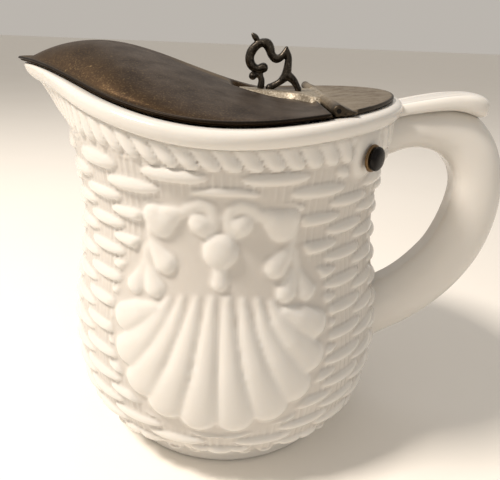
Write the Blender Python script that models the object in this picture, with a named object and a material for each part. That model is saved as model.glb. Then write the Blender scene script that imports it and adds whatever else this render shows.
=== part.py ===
"""Lidded syrup jug: a pressed opal-glass jug with a foot, a rim band, a spout and a side handle, closed
by a pewter lid that turns on a pin at the back of the rim.

+Z is up, +X points to the handle, -X to the spout, and the two faces of the jug look along -Y and +Y.
The origin is the centre of the foot, on the surface that the jug stands on.
"""

import math

import bmesh
import bpy
from mathutils import Matrix, Vector

MM = 0.001

# Jug, in millimetres
FOOT_RADIUS = 37.7
FOOT_HEIGHT = 4.0
BELLY_RADIUS = 49.8
BELLY_HEIGHT = 33.0
WAIST_RADIUS = 45.2
WAIST_HEIGHT = 77.0
NECK_RADIUS = 48.2
BAND_HEIGHT = 4.2
BAND_BULGE = 1.5
RIM_HEIGHT = 103.3
WALL = 4.2
FLOOR = 6.0
FLOOR_ROUND = 3.0

# Spout, drawn out of the neck towards -X, and the rim's rise to the handle
SPOUT_REACH = 61.0
SPOUT_RISE = 10.1
SPOUT_ROUND = 9.0
SPOUT_DEPTH = 14.1
SPOUT_LIP = 3.7
SPOUT_FLARE = 2.4
BACK_SLOPE = 0.111
RIM_LOW_X = 3.0
BACK_START_X = 8.0

# Handle, measured from the rim, the belly and the foot
HANDLE_WIDTH = 13.0
HANDLE_DROP = 6.8
HANDLE_FOOT = 33.0
HANDLE_STANDOFF = 37.5
HANDLE_EMBED = 2.4
LEDGE_WIDTH = 16.0
LEDGE_SETBACK = 10.3
LEDGE_RISE = 3.9

# Lid, plate and hinge
LID_INSET = 1.2
LID_OVERHANG = 1.6
LID_ROUND = 8.0
LID_WALL = 1.0
FLANGE = 2.4
DOME_HEIGHT = 10.2
HINGE_X = 25.8
KNUCKLE_RADIUS = 1.4
PIN_RADIUS = 0.55
KNUCKLE_SHARE = 27.0
STRAP_LENGTH = 23.8
STRAP_WIDTH = 8.0
STRAP_THICKNESS = 1.3
STRAP_DROP = 0.6
LEAF_DEPTH = 5.0
LIFT_THICKNESS = 3.6
LIFT_EDGE = 0.5

# Fixings of the plate
RIVET_AZIMUTH = 42.0
RIVET_DROP = 8.0
RIVET_RADIUS = 1.6
HEAD_RADIUS = 3.1
HEAD_HEIGHT = 1.6
WASHER_RADIUS = 3.5
WASHER_THICKNESS = 0.7
LUG_WIDTH = 7.0
LUG_THICKNESS = 1.0
LUG_DROP = 4.6
LUG_FOOT = 4.0
BOSS_RADIUS = 5.6
BOSS_HEIGHT = 1.0

GAP = 0.3
AROUND = 72

BAND_LOW = RIM_HEIGHT - BAND_HEIGHT
HANDLE_TOP = RIM_HEIGHT - HANDLE_DROP
HANDLE_REACH = BELLY_RADIUS + HANDLE_STANDOFF
LID_RADIUS = NECK_RADIUS - LID_INSET
LID_REACH = SPOUT_REACH + LID_OVERHANG
HINGE_HALF = math.sqrt(LID_RADIUS**2 - (HINGE_X + KNUCKLE_RADIUS) ** 2) - GAP
STRAP_START = HINGE_X - STRAP_LENGTH
RIVET_HEIGHT = RIM_HEIGHT - RIVET_DROP


def clear_scene():
    for obj in list(bpy.data.objects):
        bpy.data.objects.remove(obj, do_unlink=True)


def smoothstep(value):
    value = min(max(value, 0.0), 1.0)
    return value * value * (3 - 2 * value)


def lid_seat(x):
    """Height of the lid's underside over x: low in the middle, up to the spout and up to the handle."""
    front = smoothstep(max((RIM_LOW_X - x) / (RIM_LOW_X + SPOUT_REACH), 0.0) ** 1.2)
    back = (math.hypot(x - BACK_START_X, BACK_START_X) + x - BACK_START_X) / 2
    return RIM_HEIGHT + GAP + SPOUT_RISE * front + BACK_SLOPE * back


def pear(angle, radius, reach, tip):
    """Distance from the axis to a pear outline: a circle with a rounded spout tip towards -X."""
    turn = abs(math.pi - angle % (2 * math.pi))
    middle = reach - tip
    if middle <= 0 or reach <= radius:
        return radius
    tangent = math.acos(min((radius - tip) / middle, 1.0))
    if turn >= tangent:
        return radius
    leaves_tip = math.atan2(tip * math.sin(tangent), middle + tip * math.cos(tangent))
    if turn > leaves_tip:
        return radius / math.cos(turn - tangent)
    across = middle * math.cos(turn)
    return across + math.sqrt(across * across - middle * middle + tip * tip)


def half_width(x, radius, reach, tip):
    """Half the width of the same pear outline at x."""
    low, high = 0.0, radius
    for _ in range(40):
        y = (low + high) / 2
        inside = math.hypot(x, y) < pear(math.atan2(y, x), radius, reach, tip)
        low, high = (y, high) if inside else (low, y)
    return low


def outer_radius(z):
    """Radius of the jug's outside below the rim band."""
    if z < BELLY_HEIGHT:
        up = max((z - FOOT_HEIGHT) / (BELLY_HEIGHT - FOOT_HEIGHT), 0.0)
        return FOOT_RADIUS + (BELLY_RADIUS - FOOT_RADIUS) * math.sqrt(1 - (1 - up) ** 2)
    if z < WAIST_HEIGHT:
        up = (z - BELLY_HEIGHT) / (WAIST_HEIGHT - BELLY_HEIGHT)
        return WAIST_RADIUS + (BELLY_RADIUS - WAIST_RADIUS) * (1 + math.cos(math.pi * up)) / 2
    up = (z - WAIST_HEIGHT) / (BAND_LOW - WAIST_HEIGHT)
    return WAIST_RADIUS + (NECK_RADIUS - WAIST_RADIUS) * up**1.6


def up_spout(z):
    """0 where the spout starts in the neck, and 1 at the rim band."""
    return min(max((z - BAND_LOW) / SPOUT_DEPTH + 1, 0.0), 1.0)


def reach_at(z, radius):
    """How far the spout stands out at height z, growing faster towards the band."""
    return radius + (SPOUT_REACH - SPOUT_LIP - NECK_RADIUS) * up_spout(z) ** SPOUT_FLARE


def ring(z, radius, reach, tip=SPOUT_ROUND, follow=0.0):
    """Points of one level of the jug, counterclockwise from +X."""
    points = []
    for step in range(AROUND):
        angle = 2 * math.pi * step / AROUND
        out = pear(angle, radius, reach, tip)
        x, y = out * math.cos(angle), out * math.sin(angle)
        rise = lid_seat(x) - GAP - RIM_HEIGHT
        points.append((x, y, z + follow * rise))
    return points


def wall_ring(z, inset=0.0, tip=SPOUT_ROUND):
    """One level of the jug's wall, inset from its outside."""
    radius = outer_radius(z) - inset
    return ring(z, radius, reach_at(z, radius), tip, up_spout(z) ** 2)


def jug_rings():
    """Levels up the outside, over the rim band and down the inside to the floor."""
    foot_curve = BELLY_HEIGHT - FOOT_HEIGHT
    levels = [FOOT_HEIGHT + share * foot_curve for share in (0.0, 0.02, 0.07, 0.17, 0.34, 0.6)]
    levels += [BELLY_HEIGHT + share * (WAIST_HEIGHT - BELLY_HEIGHT) / 5 for share in range(6)]
    levels += [WAIST_HEIGHT + share * (BAND_LOW - WAIST_HEIGHT) / 5 for share in range(1, 5)]
    rings = [ring(0.0, FOOT_RADIUS - 0.8, 0.0), ring(0.8, FOOT_RADIUS, 0.0)]
    rings += [wall_ring(z) for z in levels]
    lip = SPOUT_REACH - SPOUT_LIP
    band = [(0.0, 0.0, 0.0), (0.2, 0.75, 0.6), (0.55, 1.0, 0.9), (0.85, 0.7, 1.0), (1.0, -0.2, 0.85)]
    for up, bulge, out in band:
        radius = NECK_RADIUS + BAND_BULGE * bulge
        rings.append(ring(BAND_LOW + BAND_HEIGHT * up, radius, lip + SPOUT_LIP * out, follow=1.0))
    mouth = NECK_RADIUS - WALL
    rings.append(ring(RIM_HEIGHT, mouth + 1.0, SPOUT_REACH - 5.0, SPOUT_ROUND - 2, 1.0))
    rings.append(ring(RIM_HEIGHT - 1.2, mouth, SPOUT_REACH - 7.0, SPOUT_ROUND - 3, 1.0))
    floor_edge = FLOOR + FLOOR_ROUND
    rings += [wall_ring(z, WALL, SPOUT_ROUND - 2) for z in reversed(levels) if z > floor_edge + 1]
    rings.append(wall_ring(floor_edge, WALL))
    inner = outer_radius(floor_edge) - WALL
    rings.append(ring(FLOOR + FLOOR_ROUND * 0.27, inner - FLOOR_ROUND * 0.9, 0.0))
    rings.append(ring(FLOOR, inner - FLOOR_ROUND * 2.2, 0.0))
    return rings


def material(name, colour, roughness, metallic=0.0):
    made = bpy.data.materials.new(name)
    made.use_nodes = True
    shader = made.node_tree.nodes["Principled BSDF"]
    shader.inputs["Base Color"].default_value = (*colour, 1.0)
    shader.inputs["Roughness"].default_value = roughness
    shader.inputs["Metallic"].default_value = metallic
    return made


def add_object(name, mesh, finish, parent=None, place=Matrix.Identity(4)):
    """Links a new object at place, given in millimetres, under parent."""
    obj = bpy.data.objects.new(name, mesh)
    bpy.context.scene.collection.objects.link(obj)
    if finish is not None:
        obj.data.materials.append(finish)
    if parent is not None:
        obj.parent = parent
        place = Matrix.Translation(-parent.location / MM) @ place
    obj.matrix_local = Matrix.Translation(place.translation * MM) @ place.to_3x3().to_4x4()
    return obj


def mesh_of(name, points, faces, smooth_angle=35.0):
    """A mesh from points in millimetres, shaded smooth up to the given angle."""
    mesh = bpy.data.meshes.new(name)
    mesh.from_pydata([tuple(MM * value for value in point) for point in points], [], faces)
    work = bmesh.new()
    work.from_mesh(mesh)
    bmesh.ops.recalc_face_normals(work, faces=work.faces)
    work.to_mesh(mesh)
    work.free()
    mesh.shade_smooth()
    mesh.set_sharp_from_angle(angle=math.radians(smooth_angle))
    return mesh


def loft(name, rings):
    """A closed mesh through rings of equal count, with a cap at each end."""
    count = len(rings[0])
    points = [point for level in rings for point in level]
    faces = []
    for level in range(len(rings) - 1):
        low, high = level * count, (level + 1) * count
        for step in range(count):
            after = (step + 1) % count
            faces.append((low + step, low + after, high + after, high + step))
    faces.append(tuple(range(count)))
    faces.append(tuple(range((len(rings) - 1) * count, len(rings) * count)))
    return mesh_of(name, points, faces)


def lathe(name, profile, sides):
    """A closed turned mesh about local Z from (radius, height) points that go round the section."""
    points, faces = [], []
    for radius, height in profile:
        for step in range(sides):
            angle = 2 * math.pi * step / sides
            points.append((radius * math.cos(angle), radius * math.sin(angle), height))
    levels = len(profile)
    for level in range(levels):
        low, high = level * sides, (level + 1) % levels * sides
        for step in range(sides):
            after = (step + 1) % sides
            faces.append((low + step, low + after, high + after, high + step))
    return mesh_of(name, points, faces)


def plug(name, profile, sides):
    """A closed turned mesh about local Z whose two ends are filled."""
    rings = []
    for radius, height in profile:
        turns = [2 * math.pi * step / sides for step in range(sides)]
        rings.append([(radius * math.cos(turn), radius * math.sin(turn), height) for turn in turns])
    return loft(name, rings)


def slab(name, outline, low, high):
    """A closed mesh from an outline of (x, y) points, between two heights."""
    return loft(name, [[(x, y, low) for x, y in outline], [(x, y, high) for x, y in outline]])


def boolean(obj, tool, operation):
    """Adds tool to obj, or takes it away, and keeps tool itself out of the model."""
    tool.hide_render = True
    tool.display_type = "WIRE"
    modifier = obj.modifiers.new(tool.name, "BOOLEAN")
    modifier.operation = operation
    modifier.object = tool
    modifier.solver = "EXACT"


def rounded_section(centre, along, half_depth, half_width_y, sides=18, power=2.6):
    """Points of a soft-cornered section across the handle, whose run lies in the XZ plane."""
    across = Vector((-along.z, 0, along.x))
    points = []
    for step in range(sides):
        angle = 2 * math.pi * step / sides
        a, b = math.cos(angle), math.sin(angle)
        size = (abs(a) ** power + abs(b) ** power) ** (-1 / power)
        point = centre + across * (half_depth * size * a) + Vector((0, half_width_y * size * b, 0))
        points.append(tuple(point))
    return points


def through(knots, steps):
    """Points of a smooth curve through every knot, steps of them to each span."""
    made = []
    for index in range(len(knots) - 1):
        before, start = knots[max(index - 1, 0)], knots[index]
        end, after = knots[index + 1], knots[min(index + 2, len(knots) - 1)]
        for step in range(steps):
            t = step / steps
            made.append(tuple(
                b + t * ((c - a) + t * ((2 * a - 5 * b + 4 * c - d) + t * (3 * b - a - 3 * c + d))) / 2
                for a, b, c, d in zip(before, start, end, after)))
    made.append(knots[-1])
    return made


def handle_rings():
    """Sections of the handle from its upper root, round the back and into the lower root.

    A station is (share of the reach, share of the height, half depth, width)."""
    stations = [
        (0.0, 0.995, 6.4, 1.0), (0.225, 1.03, 5.5, 1.0), (0.44, 1.02, 6.2, 1.0), (0.625, 0.977, 8.0, 1.0),
        (0.762, 0.857, 7.9, 1.0), (0.808, 0.72, 7.9, 1.0), (0.78, 0.581, 8.3, 1.0), (0.706, 0.432, 8.5, 1.0),
        (0.58, 0.306, 8.7, 1.02), (0.39, 0.172, 8.9, 1.08), (0.2, 0.075, 9.6, 1.14), (0.0, 0.02, 10.6, 1.2),
    ]
    high, low = outer_radius(HANDLE_TOP) - HANDLE_EMBED, outer_radius(HANDLE_FOOT) - HANDLE_EMBED
    knots = []
    for out, up, half_depth, widen in stations:
        root = low + (high - low) * smoothstep(up * 2 - 0.5)
        x, z = root + out * (HANDLE_REACH - root), HANDLE_FOOT + up * (HANDLE_TOP - HANDLE_FOOT)
        knots.append((x, z, half_depth, widen * HANDLE_WIDTH / 2))
    centres = through(knots, 2)
    rings = []
    for index, (x, z, half_depth, half_width_y) in enumerate(centres):
        before, after = centres[max(index - 1, 0)], centres[min(index + 1, len(centres) - 1)]
        along = Vector((after[0] - before[0], 0, after[1] - before[1])).normalized()
        if index in (0, len(centres) - 1):
            along = Vector((1 if index == 0 else -1, 0, 0))
        rings.append(rounded_section(Vector((x, 0, z)), along, half_depth, half_width_y))
    return rings


def ledge_rings():
    """Sections of the flat thumb ledge on top of the handle: (share of the run, half height, width)."""
    sections = [
        (0, 2.9, 1), (0.35, 2.7, 1), (0.7, 3.2, 1), (0.88, 3.4, 0.98), (0.95, 3.0, 0.86), (0.985, 2.3, 0.66),
        (1.0, 1.4, 0.4),
    ]
    root = outer_radius(HANDLE_TOP) - HANDLE_EMBED
    run = HANDLE_REACH - LEDGE_SETBACK - root
    low = HANDLE_TOP + 5.7
    rings = []
    for out, thick, wide in sections:
        centre = Vector((root + run * out, 0, low + LEDGE_RISE * out**0.9))
        rings.append(rounded_section(centre, Vector((1, 0, 0)), thick, wide * LEDGE_WIDTH / 2, power=3.0))
    return rings


def rivet_frame(side):
    """Axes of a rivet: local Z points out of the jug along the rivet, from the jug's axis."""
    azimuth = math.radians(RIVET_AZIMUTH)
    out = Vector((math.cos(azimuth), side * math.sin(azimuth), 0))
    across = Vector((0, 0, 1)).cross(out)
    turn = Matrix((across, Vector((0, 0, 1)), out)).transposed()
    if turn.determinant() < 0:
        turn = Matrix((-across, Vector((0, 0, 1)), out)).transposed()
    return Matrix.Translation((0, 0, RIVET_HEIGHT)) @ turn.to_4x4()


def build_jug(glass):
    jug = add_object("glass_jug", loft("glass_jug", jug_rings()), glass)
    handle = add_object("handle_form", loft("handle_form", handle_rings()), glass)
    ledge = add_object("ledge_form", loft("ledge_form", ledge_rings()), glass)
    boolean(jug, handle, "UNION")
    boolean(jug, ledge, "UNION")
    face = outer_radius(RIVET_HEIGHT) + BOSS_HEIGHT
    inside = outer_radius(RIVET_HEIGHT) - WALL
    for word, side in (("near", -1), ("far", 1)):
        boss = plug("boss_" + word, [(BOSS_RADIUS, inside + 1.5), (BOSS_RADIUS, face)], 32)
        boolean(jug, add_object("boss_" + word, boss, glass, place=rivet_frame(side)), "UNION")
        hole = plug("hole_" + word, [(RIVET_RADIUS + GAP, inside - 6), (RIVET_RADIUS + GAP, face + 6)], 24)
        boolean(jug, add_object("hole_" + word, hole, None, place=rivet_frame(side)), "DIFFERENCE")
    return jug


def build_fixings(pewter, iron, brass):
    """Rivets, washers and lugs, a set on each side of the jug."""
    face = outer_radius(RIVET_HEIGHT) + BOSS_HEIGHT
    lug_out = outer_radius(RIVET_HEIGHT - LUG_DROP) - WALL - GAP - LUG_WIDTH**2 / 8 / WAIST_RADIUS
    lug_in = lug_out - LUG_THICKNESS
    washer_low = face + GAP
    head_low = washer_low + WASHER_THICKNESS + GAP
    burr_high = lug_in - GAP
    tail_high = burr_high - WASHER_THICKNESS - GAP
    for word, side in (("near", -1), ("far", 1)):
        place = rivet_frame(side)
        rivet = [
            (RIVET_RADIUS, tail_high - 0.9), (HEAD_RADIUS * 0.8, tail_high - 0.6), (HEAD_RADIUS * 0.8, tail_high),
            (RIVET_RADIUS, tail_high), (RIVET_RADIUS, head_low), (HEAD_RADIUS, head_low),
            (HEAD_RADIUS, head_low + HEAD_HEIGHT * 0.6), (HEAD_RADIUS * 0.7, head_low + HEAD_HEIGHT),
        ]
        add_object("rivet_" + word, plug("rivet_" + word, rivet, 32), iron, place=place)
        bore = RIVET_RADIUS + GAP
        for name, radius, low in (("washer_", WASHER_RADIUS, washer_low),
                                  ("burr_", WASHER_RADIUS - 0.3, burr_high - WASHER_THICKNESS)):
            high = low + WASHER_THICKNESS
            section = [(radius, low), (radius, high), (bore, high), (bore, low)]
            add_object(name + word, lathe(name + word, section, 32), brass, place=place)
        build_lug("lug_" + word, side, lug_in, lug_out, pewter)


def build_lug(name, side, lug_in, lug_out, pewter):
    """A strip that hangs from the plate inside the neck, with a short foot turned in under the plate."""
    half = LUG_WIDTH / 2
    azimuth = math.radians(RIVET_AZIMUTH)
    top = lid_seat((lug_in - LUG_FOOT) * math.cos(azimuth)) - GAP - RIVET_HEIGHT
    slope = BACK_SLOPE * math.cos(azimuth)
    drop = half * BACK_SLOPE * math.sin(azimuth) + 0.1
    bottom = -LUG_DROP
    foot = LUG_FOOT
    section = [
        (lug_out, bottom), (lug_out, top + slope * foot - drop), (lug_in - foot, top - drop),
        (lug_in - foot, top - LUG_THICKNESS - drop), (lug_in, top - LUG_THICKNESS - drop + slope * foot),
        (lug_in, bottom),
    ]
    rings = [[(across, up, out) for out, up in section] for across in (-half, half)]
    lug = add_object(name, loft(name, rings), pewter, place=rivet_frame(side))
    cut = plug(name + "_hole", [(RIVET_RADIUS + GAP, lug_in - 6), (RIVET_RADIUS + GAP, lug_out + 6)], 24)
    boolean(lug, add_object(name + "_hole", cut, None, place=rivet_frame(side)), "DIFFERENCE")


def hinge_height():
    return lid_seat(HINGE_X) + KNUCKLE_RADIUS


def barrel(name, low, high, radius):
    """A cylinder along Y on the pin's axis, between two places on Y."""
    mesh = plug(name, [(radius, low), (radius, high)], 24)
    mesh.transform(Matrix.Rotation(math.radians(-90), 4, "X"))
    return mesh


def build_plate(pewter, steel):
    """The fixed half-moon plate behind the hinge, with a knuckle at each side of the lid's own, and the pin."""
    edge = HINGE_X + KNUCKLE_RADIUS + GAP
    corner = math.acos(edge / LID_RADIUS)
    outline = [(LID_RADIUS * math.cos(corner * (step / 16 - 1)), LID_RADIUS * math.sin(corner * (step / 16 - 1)))
               for step in range(33)]
    points = [[(x, y, lid_seat(edge) + BACK_SLOPE * 0.98 * (x - edge) + up) for x, y in outline]
              for up in (0.0, LID_WALL)]
    plate = add_object("rear_plate", loft("rear_plate", points), pewter)
    place = Matrix.Translation((HINGE_X, 0, hinge_height()))
    ends = [(-HINGE_HALF, -KNUCKLE_SHARE / 2 - GAP), (KNUCKLE_SHARE / 2 + GAP, HINGE_HALF)]
    for word, (low, high) in zip(("near", "far"), ends):
        knuckle = barrel("knuckle_" + word, low, high, KNUCKLE_RADIUS)
        boolean(plate, add_object("knuckle_" + word, knuckle, pewter, place=place), "UNION")
        reach = KNUCKLE_RADIUS + GAP + 1
        outline = [(0, low), (reach, low), (reach, high), (0, high)]
        leaf = slab("leaf_" + word, outline, -KNUCKLE_RADIUS + 0.15, -KNUCKLE_RADIUS + LID_WALL - 0.05)
        boolean(plate, add_object("leaf_" + word, leaf, pewter, place=place), "UNION")
    bore = barrel("plate_bore", -2 * HINGE_HALF, 2 * HINGE_HALF, PIN_RADIUS + GAP)
    boolean(plate, add_object("plate_bore", bore, None, place=place), "DIFFERENCE")
    pin = barrel("hinge_pin", -HINGE_HALF - GAP, HINGE_HALF + GAP, PIN_RADIUS)
    add_object("hinge_pin", pin, steel, place=place)


def strap_underside(x):
    """Height of the strap's underside: close over the flange at the leaf, higher over the dome."""
    leaf = HINGE_X - LEAF_DEPTH
    back = lid_seat(leaf) + LID_WALL + GAP + 0.1
    return back + STRAP_DROP * (leaf - x) / (leaf - STRAP_START)


def dome_height(x, y):
    """Height of the dome over the flange, with a seat let in under the strap."""
    start, end = -LID_REACH + FLANGE + 1.0, HINGE_X - LEAF_DEPTH
    along = min(max((x - start) / (end - start), 0.0), 1.0)
    width = half_width(x, LID_RADIUS - FLANGE, LID_REACH - FLANGE, LID_ROUND - FLANGE)
    if along in (0.0, 1.0) or abs(y) >= width:
        return 0.0
    crown = DOME_HEIGHT * math.sin(math.pi * along**0.76) ** 1.3
    height = crown * (1 - (y / width) ** 2) ** 0.8
    ceiling = strap_underside(max(x, STRAP_START)) - GAP - 0.1 - lid_seat(x) - LID_WALL
    seated = smoothstep((STRAP_WIDTH / 2 + 5.5 - abs(y)) / 3) * smoothstep((x - STRAP_START + 4.5) / 3)
    return height - seated * max(height - ceiling, 0.0)


def build_lid(pewter, hinge):
    """The domed lid in front of the hinge: one raised sheet, hollow below, with a flat flange on the rim."""
    end = HINGE_X - KNUCKLE_RADIUS - GAP - 0.1
    corner = math.acos(end / LID_RADIUS)
    outline = []
    for step in range(45):
        angle = corner + (2 * math.pi - 2 * corner) * step / 44
        out = pear(angle, LID_RADIUS, LID_REACH, LID_ROUND)
        outline.append((out * math.cos(angle), out * math.sin(angle)))
    edge = half_width(end, LID_RADIUS, LID_REACH, LID_ROUND)
    across = (0.78, 0.6, 0.46, 0.34, 0.22, 0.11)
    outline += [(end, -edge * share) for share in across] + [(end, 0.0)]
    outline += [(end, edge * share) for share in reversed(across)]
    middle_x = -14.0
    ahead = (STRAP_START - 0.8 - middle_x) / (end - middle_x)
    shares = (1.0, 0.955, 0.93, 0.88, 0.8, 0.7, 0.6, 0.5, ahead, 0.3, 0.16)
    count = len(outline)
    points, faces = [], []
    for share in shares:
        for x, y in outline:
            x, y = middle_x + (x - middle_x) * share, y * share
            points.append((x, y, lid_seat(x) + LID_WALL + dome_height(x, y)))
    points.append((middle_x, 0, lid_seat(middle_x) + LID_WALL + dome_height(middle_x, 0)))
    for level in range(len(shares) - 1):
        low, high = level * count, (level + 1) * count
        for step in range(count):
            after = (step + 1) % count
            faces.append((low + step, low + after, high + after, high + step))
    last = (len(shares) - 1) * count
    faces += [(last + step, last + (step + 1) % count, len(points) - 1) for step in range(count)]
    mesh = mesh_of("lid_dome", [(x, y, z) for x, y, z in points], faces, 50)
    if mesh.polygons[0].normal.z < 0:
        mesh.flip_normals()
    mesh.transform(Matrix.Translation(-hinge.location))
    lid = add_object("lid_dome", mesh, pewter, parent=hinge, place=Matrix.Translation(hinge.location / MM))
    wall = lid.modifiers.new("wall", "SOLIDIFY")
    wall.thickness = LID_WALL * MM
    wall.offset = -1
    wall.use_even_offset = True


def build_strap(silver, hinge):
    """The cast strap that carries the thumb lift and ends in the lid's own knuckle."""
    back = HINGE_X - KNUCKLE_RADIUS * 0.6
    flare, leaf = HINGE_X - 1.8 * LEAF_DEPTH, HINGE_X - LEAF_DEPTH
    half, wide = STRAP_WIDTH / 2, KNUCKLE_SHARE / 2
    stations = [(STRAP_START, half * 0.8), (STRAP_START + 1.2, half), (flare, half + 0.6), (leaf, wide)]
    stations.append((back, wide))
    rings = []
    for x, reach in stations:
        low = strap_underside(min(x, leaf))
        high = low + STRAP_THICKNESS
        rings.append([(x, -reach, low), (x, reach, low), (x, reach * 0.96, high), (x, -reach * 0.96, high)])
    mesh = loft("hinge_strap", rings)
    mesh.transform(Matrix.Translation(-hinge.location))
    origin = Matrix.Translation(hinge.location / MM)
    strap = add_object("hinge_strap", mesh, silver, parent=hinge, place=origin)
    knuckle = barrel("knuckle_lid", -wide, wide, KNUCKLE_RADIUS)
    boolean(strap, add_object("knuckle_lid", knuckle, silver, parent=hinge, place=origin), "UNION")
    bore = barrel("strap_bore", -2 * HINGE_HALF, 2 * HINGE_HALF, PIN_RADIUS + GAP)
    boolean(strap, add_object("strap_bore", bore, None, parent=hinge, place=origin), "DIFFERENCE")


def build_thumb_lift(pewter, hinge):
    """The openwork scroll that the thumb pushes back, a flat casting in the plane of the handle.

    Its outlines are (x, z) from the pin's axis, closed curves through a few points each."""
    outside = [
        (-19.9, 1.5), (-19.4, 3.2), (-20.6, 3.5), (-21.4, 4.9), (-20.9, 6.3), (-22.3, 8.3), (-22.7, 10.5),
        (-21.8, 12.6), (-20.0, 14.4), (-20.7, 15.8), (-19.6, 16.6), (-18.0, 16.1), (-17.2, 15.1), (-15.2, 15.0),
        (-13.7, 13.6), (-13.3, 12.0), (-12.2, 11.0), (-10.9, 11.5), (-9.5, 13.1), (-8.6, 12.0), (-7.9, 9.2),
        (-8.2, 6.9), (-6.5, 4.3), (-5.4, 2.2), (-5.2, 0.7), (-7.0, 0.7), (-8.1, 2.2), (-9.6, 2.9), (-11.6, 2.5),
        (-13.1, 1.4), (-16.4, 1.5),
    ]
    hole = [
        (-16.4, 12.0), (-15.8, 10.4), (-14.4, 9.1), (-12.6, 8.7), (-10.8, 8.9), (-10.7, 7.2), (-11.6, 5.3),
        (-13.4, 4.0), (-15.2, 3.3), (-16.0, 5.4), (-15.4, 6.6), (-15.6, 7.8), (-17.0, 8.4), (-18.6, 8.3),
        (-19.3, 9.8), (-18.6, 11.4),
    ]
    curve = bpy.data.curves.new("thumb_lift", "CURVE")
    curve.dimensions = "2D"
    curve.fill_mode = "BOTH"
    curve.resolution_u = 2
    curve.extrude = (LIFT_THICKNESS / 2 - LIFT_EDGE) * MM
    curve.bevel_depth = LIFT_EDGE * MM
    curve.bevel_resolution = 0
    curve.offset = -LIFT_EDGE * MM
    for points in (outside, hole):
        spline = curve.splines.new("BEZIER")
        spline.bezier_points.add(len(points) - 1)
        spline.use_cyclic_u = True
        for knot, (x, z) in zip(spline.bezier_points, points):
            knot.co = (x * MM, z * MM, 0)
            knot.handle_left_type = knot.handle_right_type = "AUTO"
    base = strap_underside(HINGE_X - LEAF_DEPTH) + STRAP_THICKNESS + GAP - 0.5
    place = Matrix.Translation((HINGE_X, 0, base)) @ Matrix.Rotation(math.radians(90), 4, "X")
    lift = bpy.data.objects.new("thumb_lift", curve)
    bpy.context.scene.collection.objects.link(lift)
    curve.materials.append(pewter)
    lift.parent = hinge
    place = Matrix.Translation(-hinge.location / MM) @ place
    lift.matrix_local = Matrix.Translation(place.translation * MM) @ place.to_3x3().to_4x4()


def main():
    clear_scene()
    glass = material("opal_glass", (0.86, 0.85, 0.80), 0.12)
    dark_pewter = material("dark_pewter", (0.085, 0.068, 0.05), 0.38, 0.9)
    grey_pewter = material("grey_pewter", (0.21, 0.17, 0.13), 0.45, 0.9)
    solder = material("worn_pewter", (0.45, 0.42, 0.36), 0.35, 0.9)
    cast = material("cast_pewter", (0.06, 0.055, 0.05), 0.35, 0.9)
    iron = material("black_iron", (0.01, 0.01, 0.01), 0.3, 0.6)
    brass = material("dull_brass", (0.25, 0.16, 0.08), 0.45, 0.9)
    build_jug(glass)
    build_plate(grey_pewter, iron)
    build_fixings(grey_pewter, iron, brass)
    hinge = bpy.data.objects.new("hinge_axis", None)
    hinge.location = (HINGE_X * MM, 0, hinge_height() * MM)
    bpy.context.scene.collection.objects.link(hinge)
    bpy.context.view_layer.update()
    build_lid(dark_pewter, hinge)
    build_strap(solder, hinge)
    build_thumb_lift(cast, hinge)


main()
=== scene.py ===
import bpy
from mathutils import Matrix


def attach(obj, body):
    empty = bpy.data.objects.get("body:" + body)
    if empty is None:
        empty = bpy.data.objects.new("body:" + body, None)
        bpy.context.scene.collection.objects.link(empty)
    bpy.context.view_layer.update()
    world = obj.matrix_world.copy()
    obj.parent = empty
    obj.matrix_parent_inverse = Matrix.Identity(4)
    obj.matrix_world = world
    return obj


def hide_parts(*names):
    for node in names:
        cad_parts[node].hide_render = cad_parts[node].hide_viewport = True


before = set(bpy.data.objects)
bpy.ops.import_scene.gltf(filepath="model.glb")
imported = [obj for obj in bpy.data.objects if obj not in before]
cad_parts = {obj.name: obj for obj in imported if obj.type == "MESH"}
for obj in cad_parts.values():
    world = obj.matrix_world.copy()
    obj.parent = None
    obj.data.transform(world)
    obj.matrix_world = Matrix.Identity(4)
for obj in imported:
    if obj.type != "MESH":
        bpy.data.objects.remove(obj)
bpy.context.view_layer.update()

import math

import bmesh
import bpy
import numpy as np
from mathutils import Matrix, Vector

MM = 0.001

# ---- Table, light and camera ------------------------------------------------------------------------
# A pale matt table top under the jug, one warm soft lamp high on the left and a weak cool one on the
# right, as in a small product studio. They aren't part of the jug.

scene = bpy.context.scene
scene.view_settings.view_transform = "Standard"


def linear(colour):
    """Linear red, green, blue and alpha of an sRGB hex colour."""
    channels = [int(colour[start:start + 2], 16) / 255 for start in (1, 3, 5)]
    return [c / 12.92 if c <= 0.04045 else ((c + 0.055) / 1.055) ** 2.4 for c in channels] + [1.0]


def node(tree, kind, settings=None, inputs=None):
    """Adds a node, sets its properties, and sets or links its inputs by name or place."""
    made = tree.nodes.new(kind)
    for name, value in (settings or {}).items():
        setattr(made, name, value)
    for name, value in (inputs or {}).items():
        if isinstance(value, bpy.types.NodeSocket):
            tree.links.new(value, made.inputs[name])
        else:
            made.inputs[name].default_value = value
    return made


def add(name, data):
    """A new object in the scene, at the origin, with this mesh, lamp or camera."""
    made = bpy.data.objects.new(name, data)
    scene.collection.objects.link(made)
    return made


def surface(name):
    """A new material's node tree with its Principled shader."""
    made = bpy.data.materials.new(name)
    made.use_nodes = True
    return made, made.node_tree, made.node_tree.nodes["Principled BSDF"]


TABLE_REACH = 30.0
TABLE_COLOUR, TABLE_MOTTLE = "#f1ece4", "#f5f1ea"
MOTTLE_MM = 111.0
ROOM_COLOUR, ROOM_STRENGTH = "#ebe4db", 0.6
table = bpy.data.meshes.new("table_top")
table.from_pydata([(TABLE_REACH * x, TABLE_REACH * y, -0.0002) for x, y in ((-1, -1), (1, -1), (1, 1), (-1, 1))],
                  [], [(0, 1, 2, 3)])
table_top = add("table_top", table)
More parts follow.
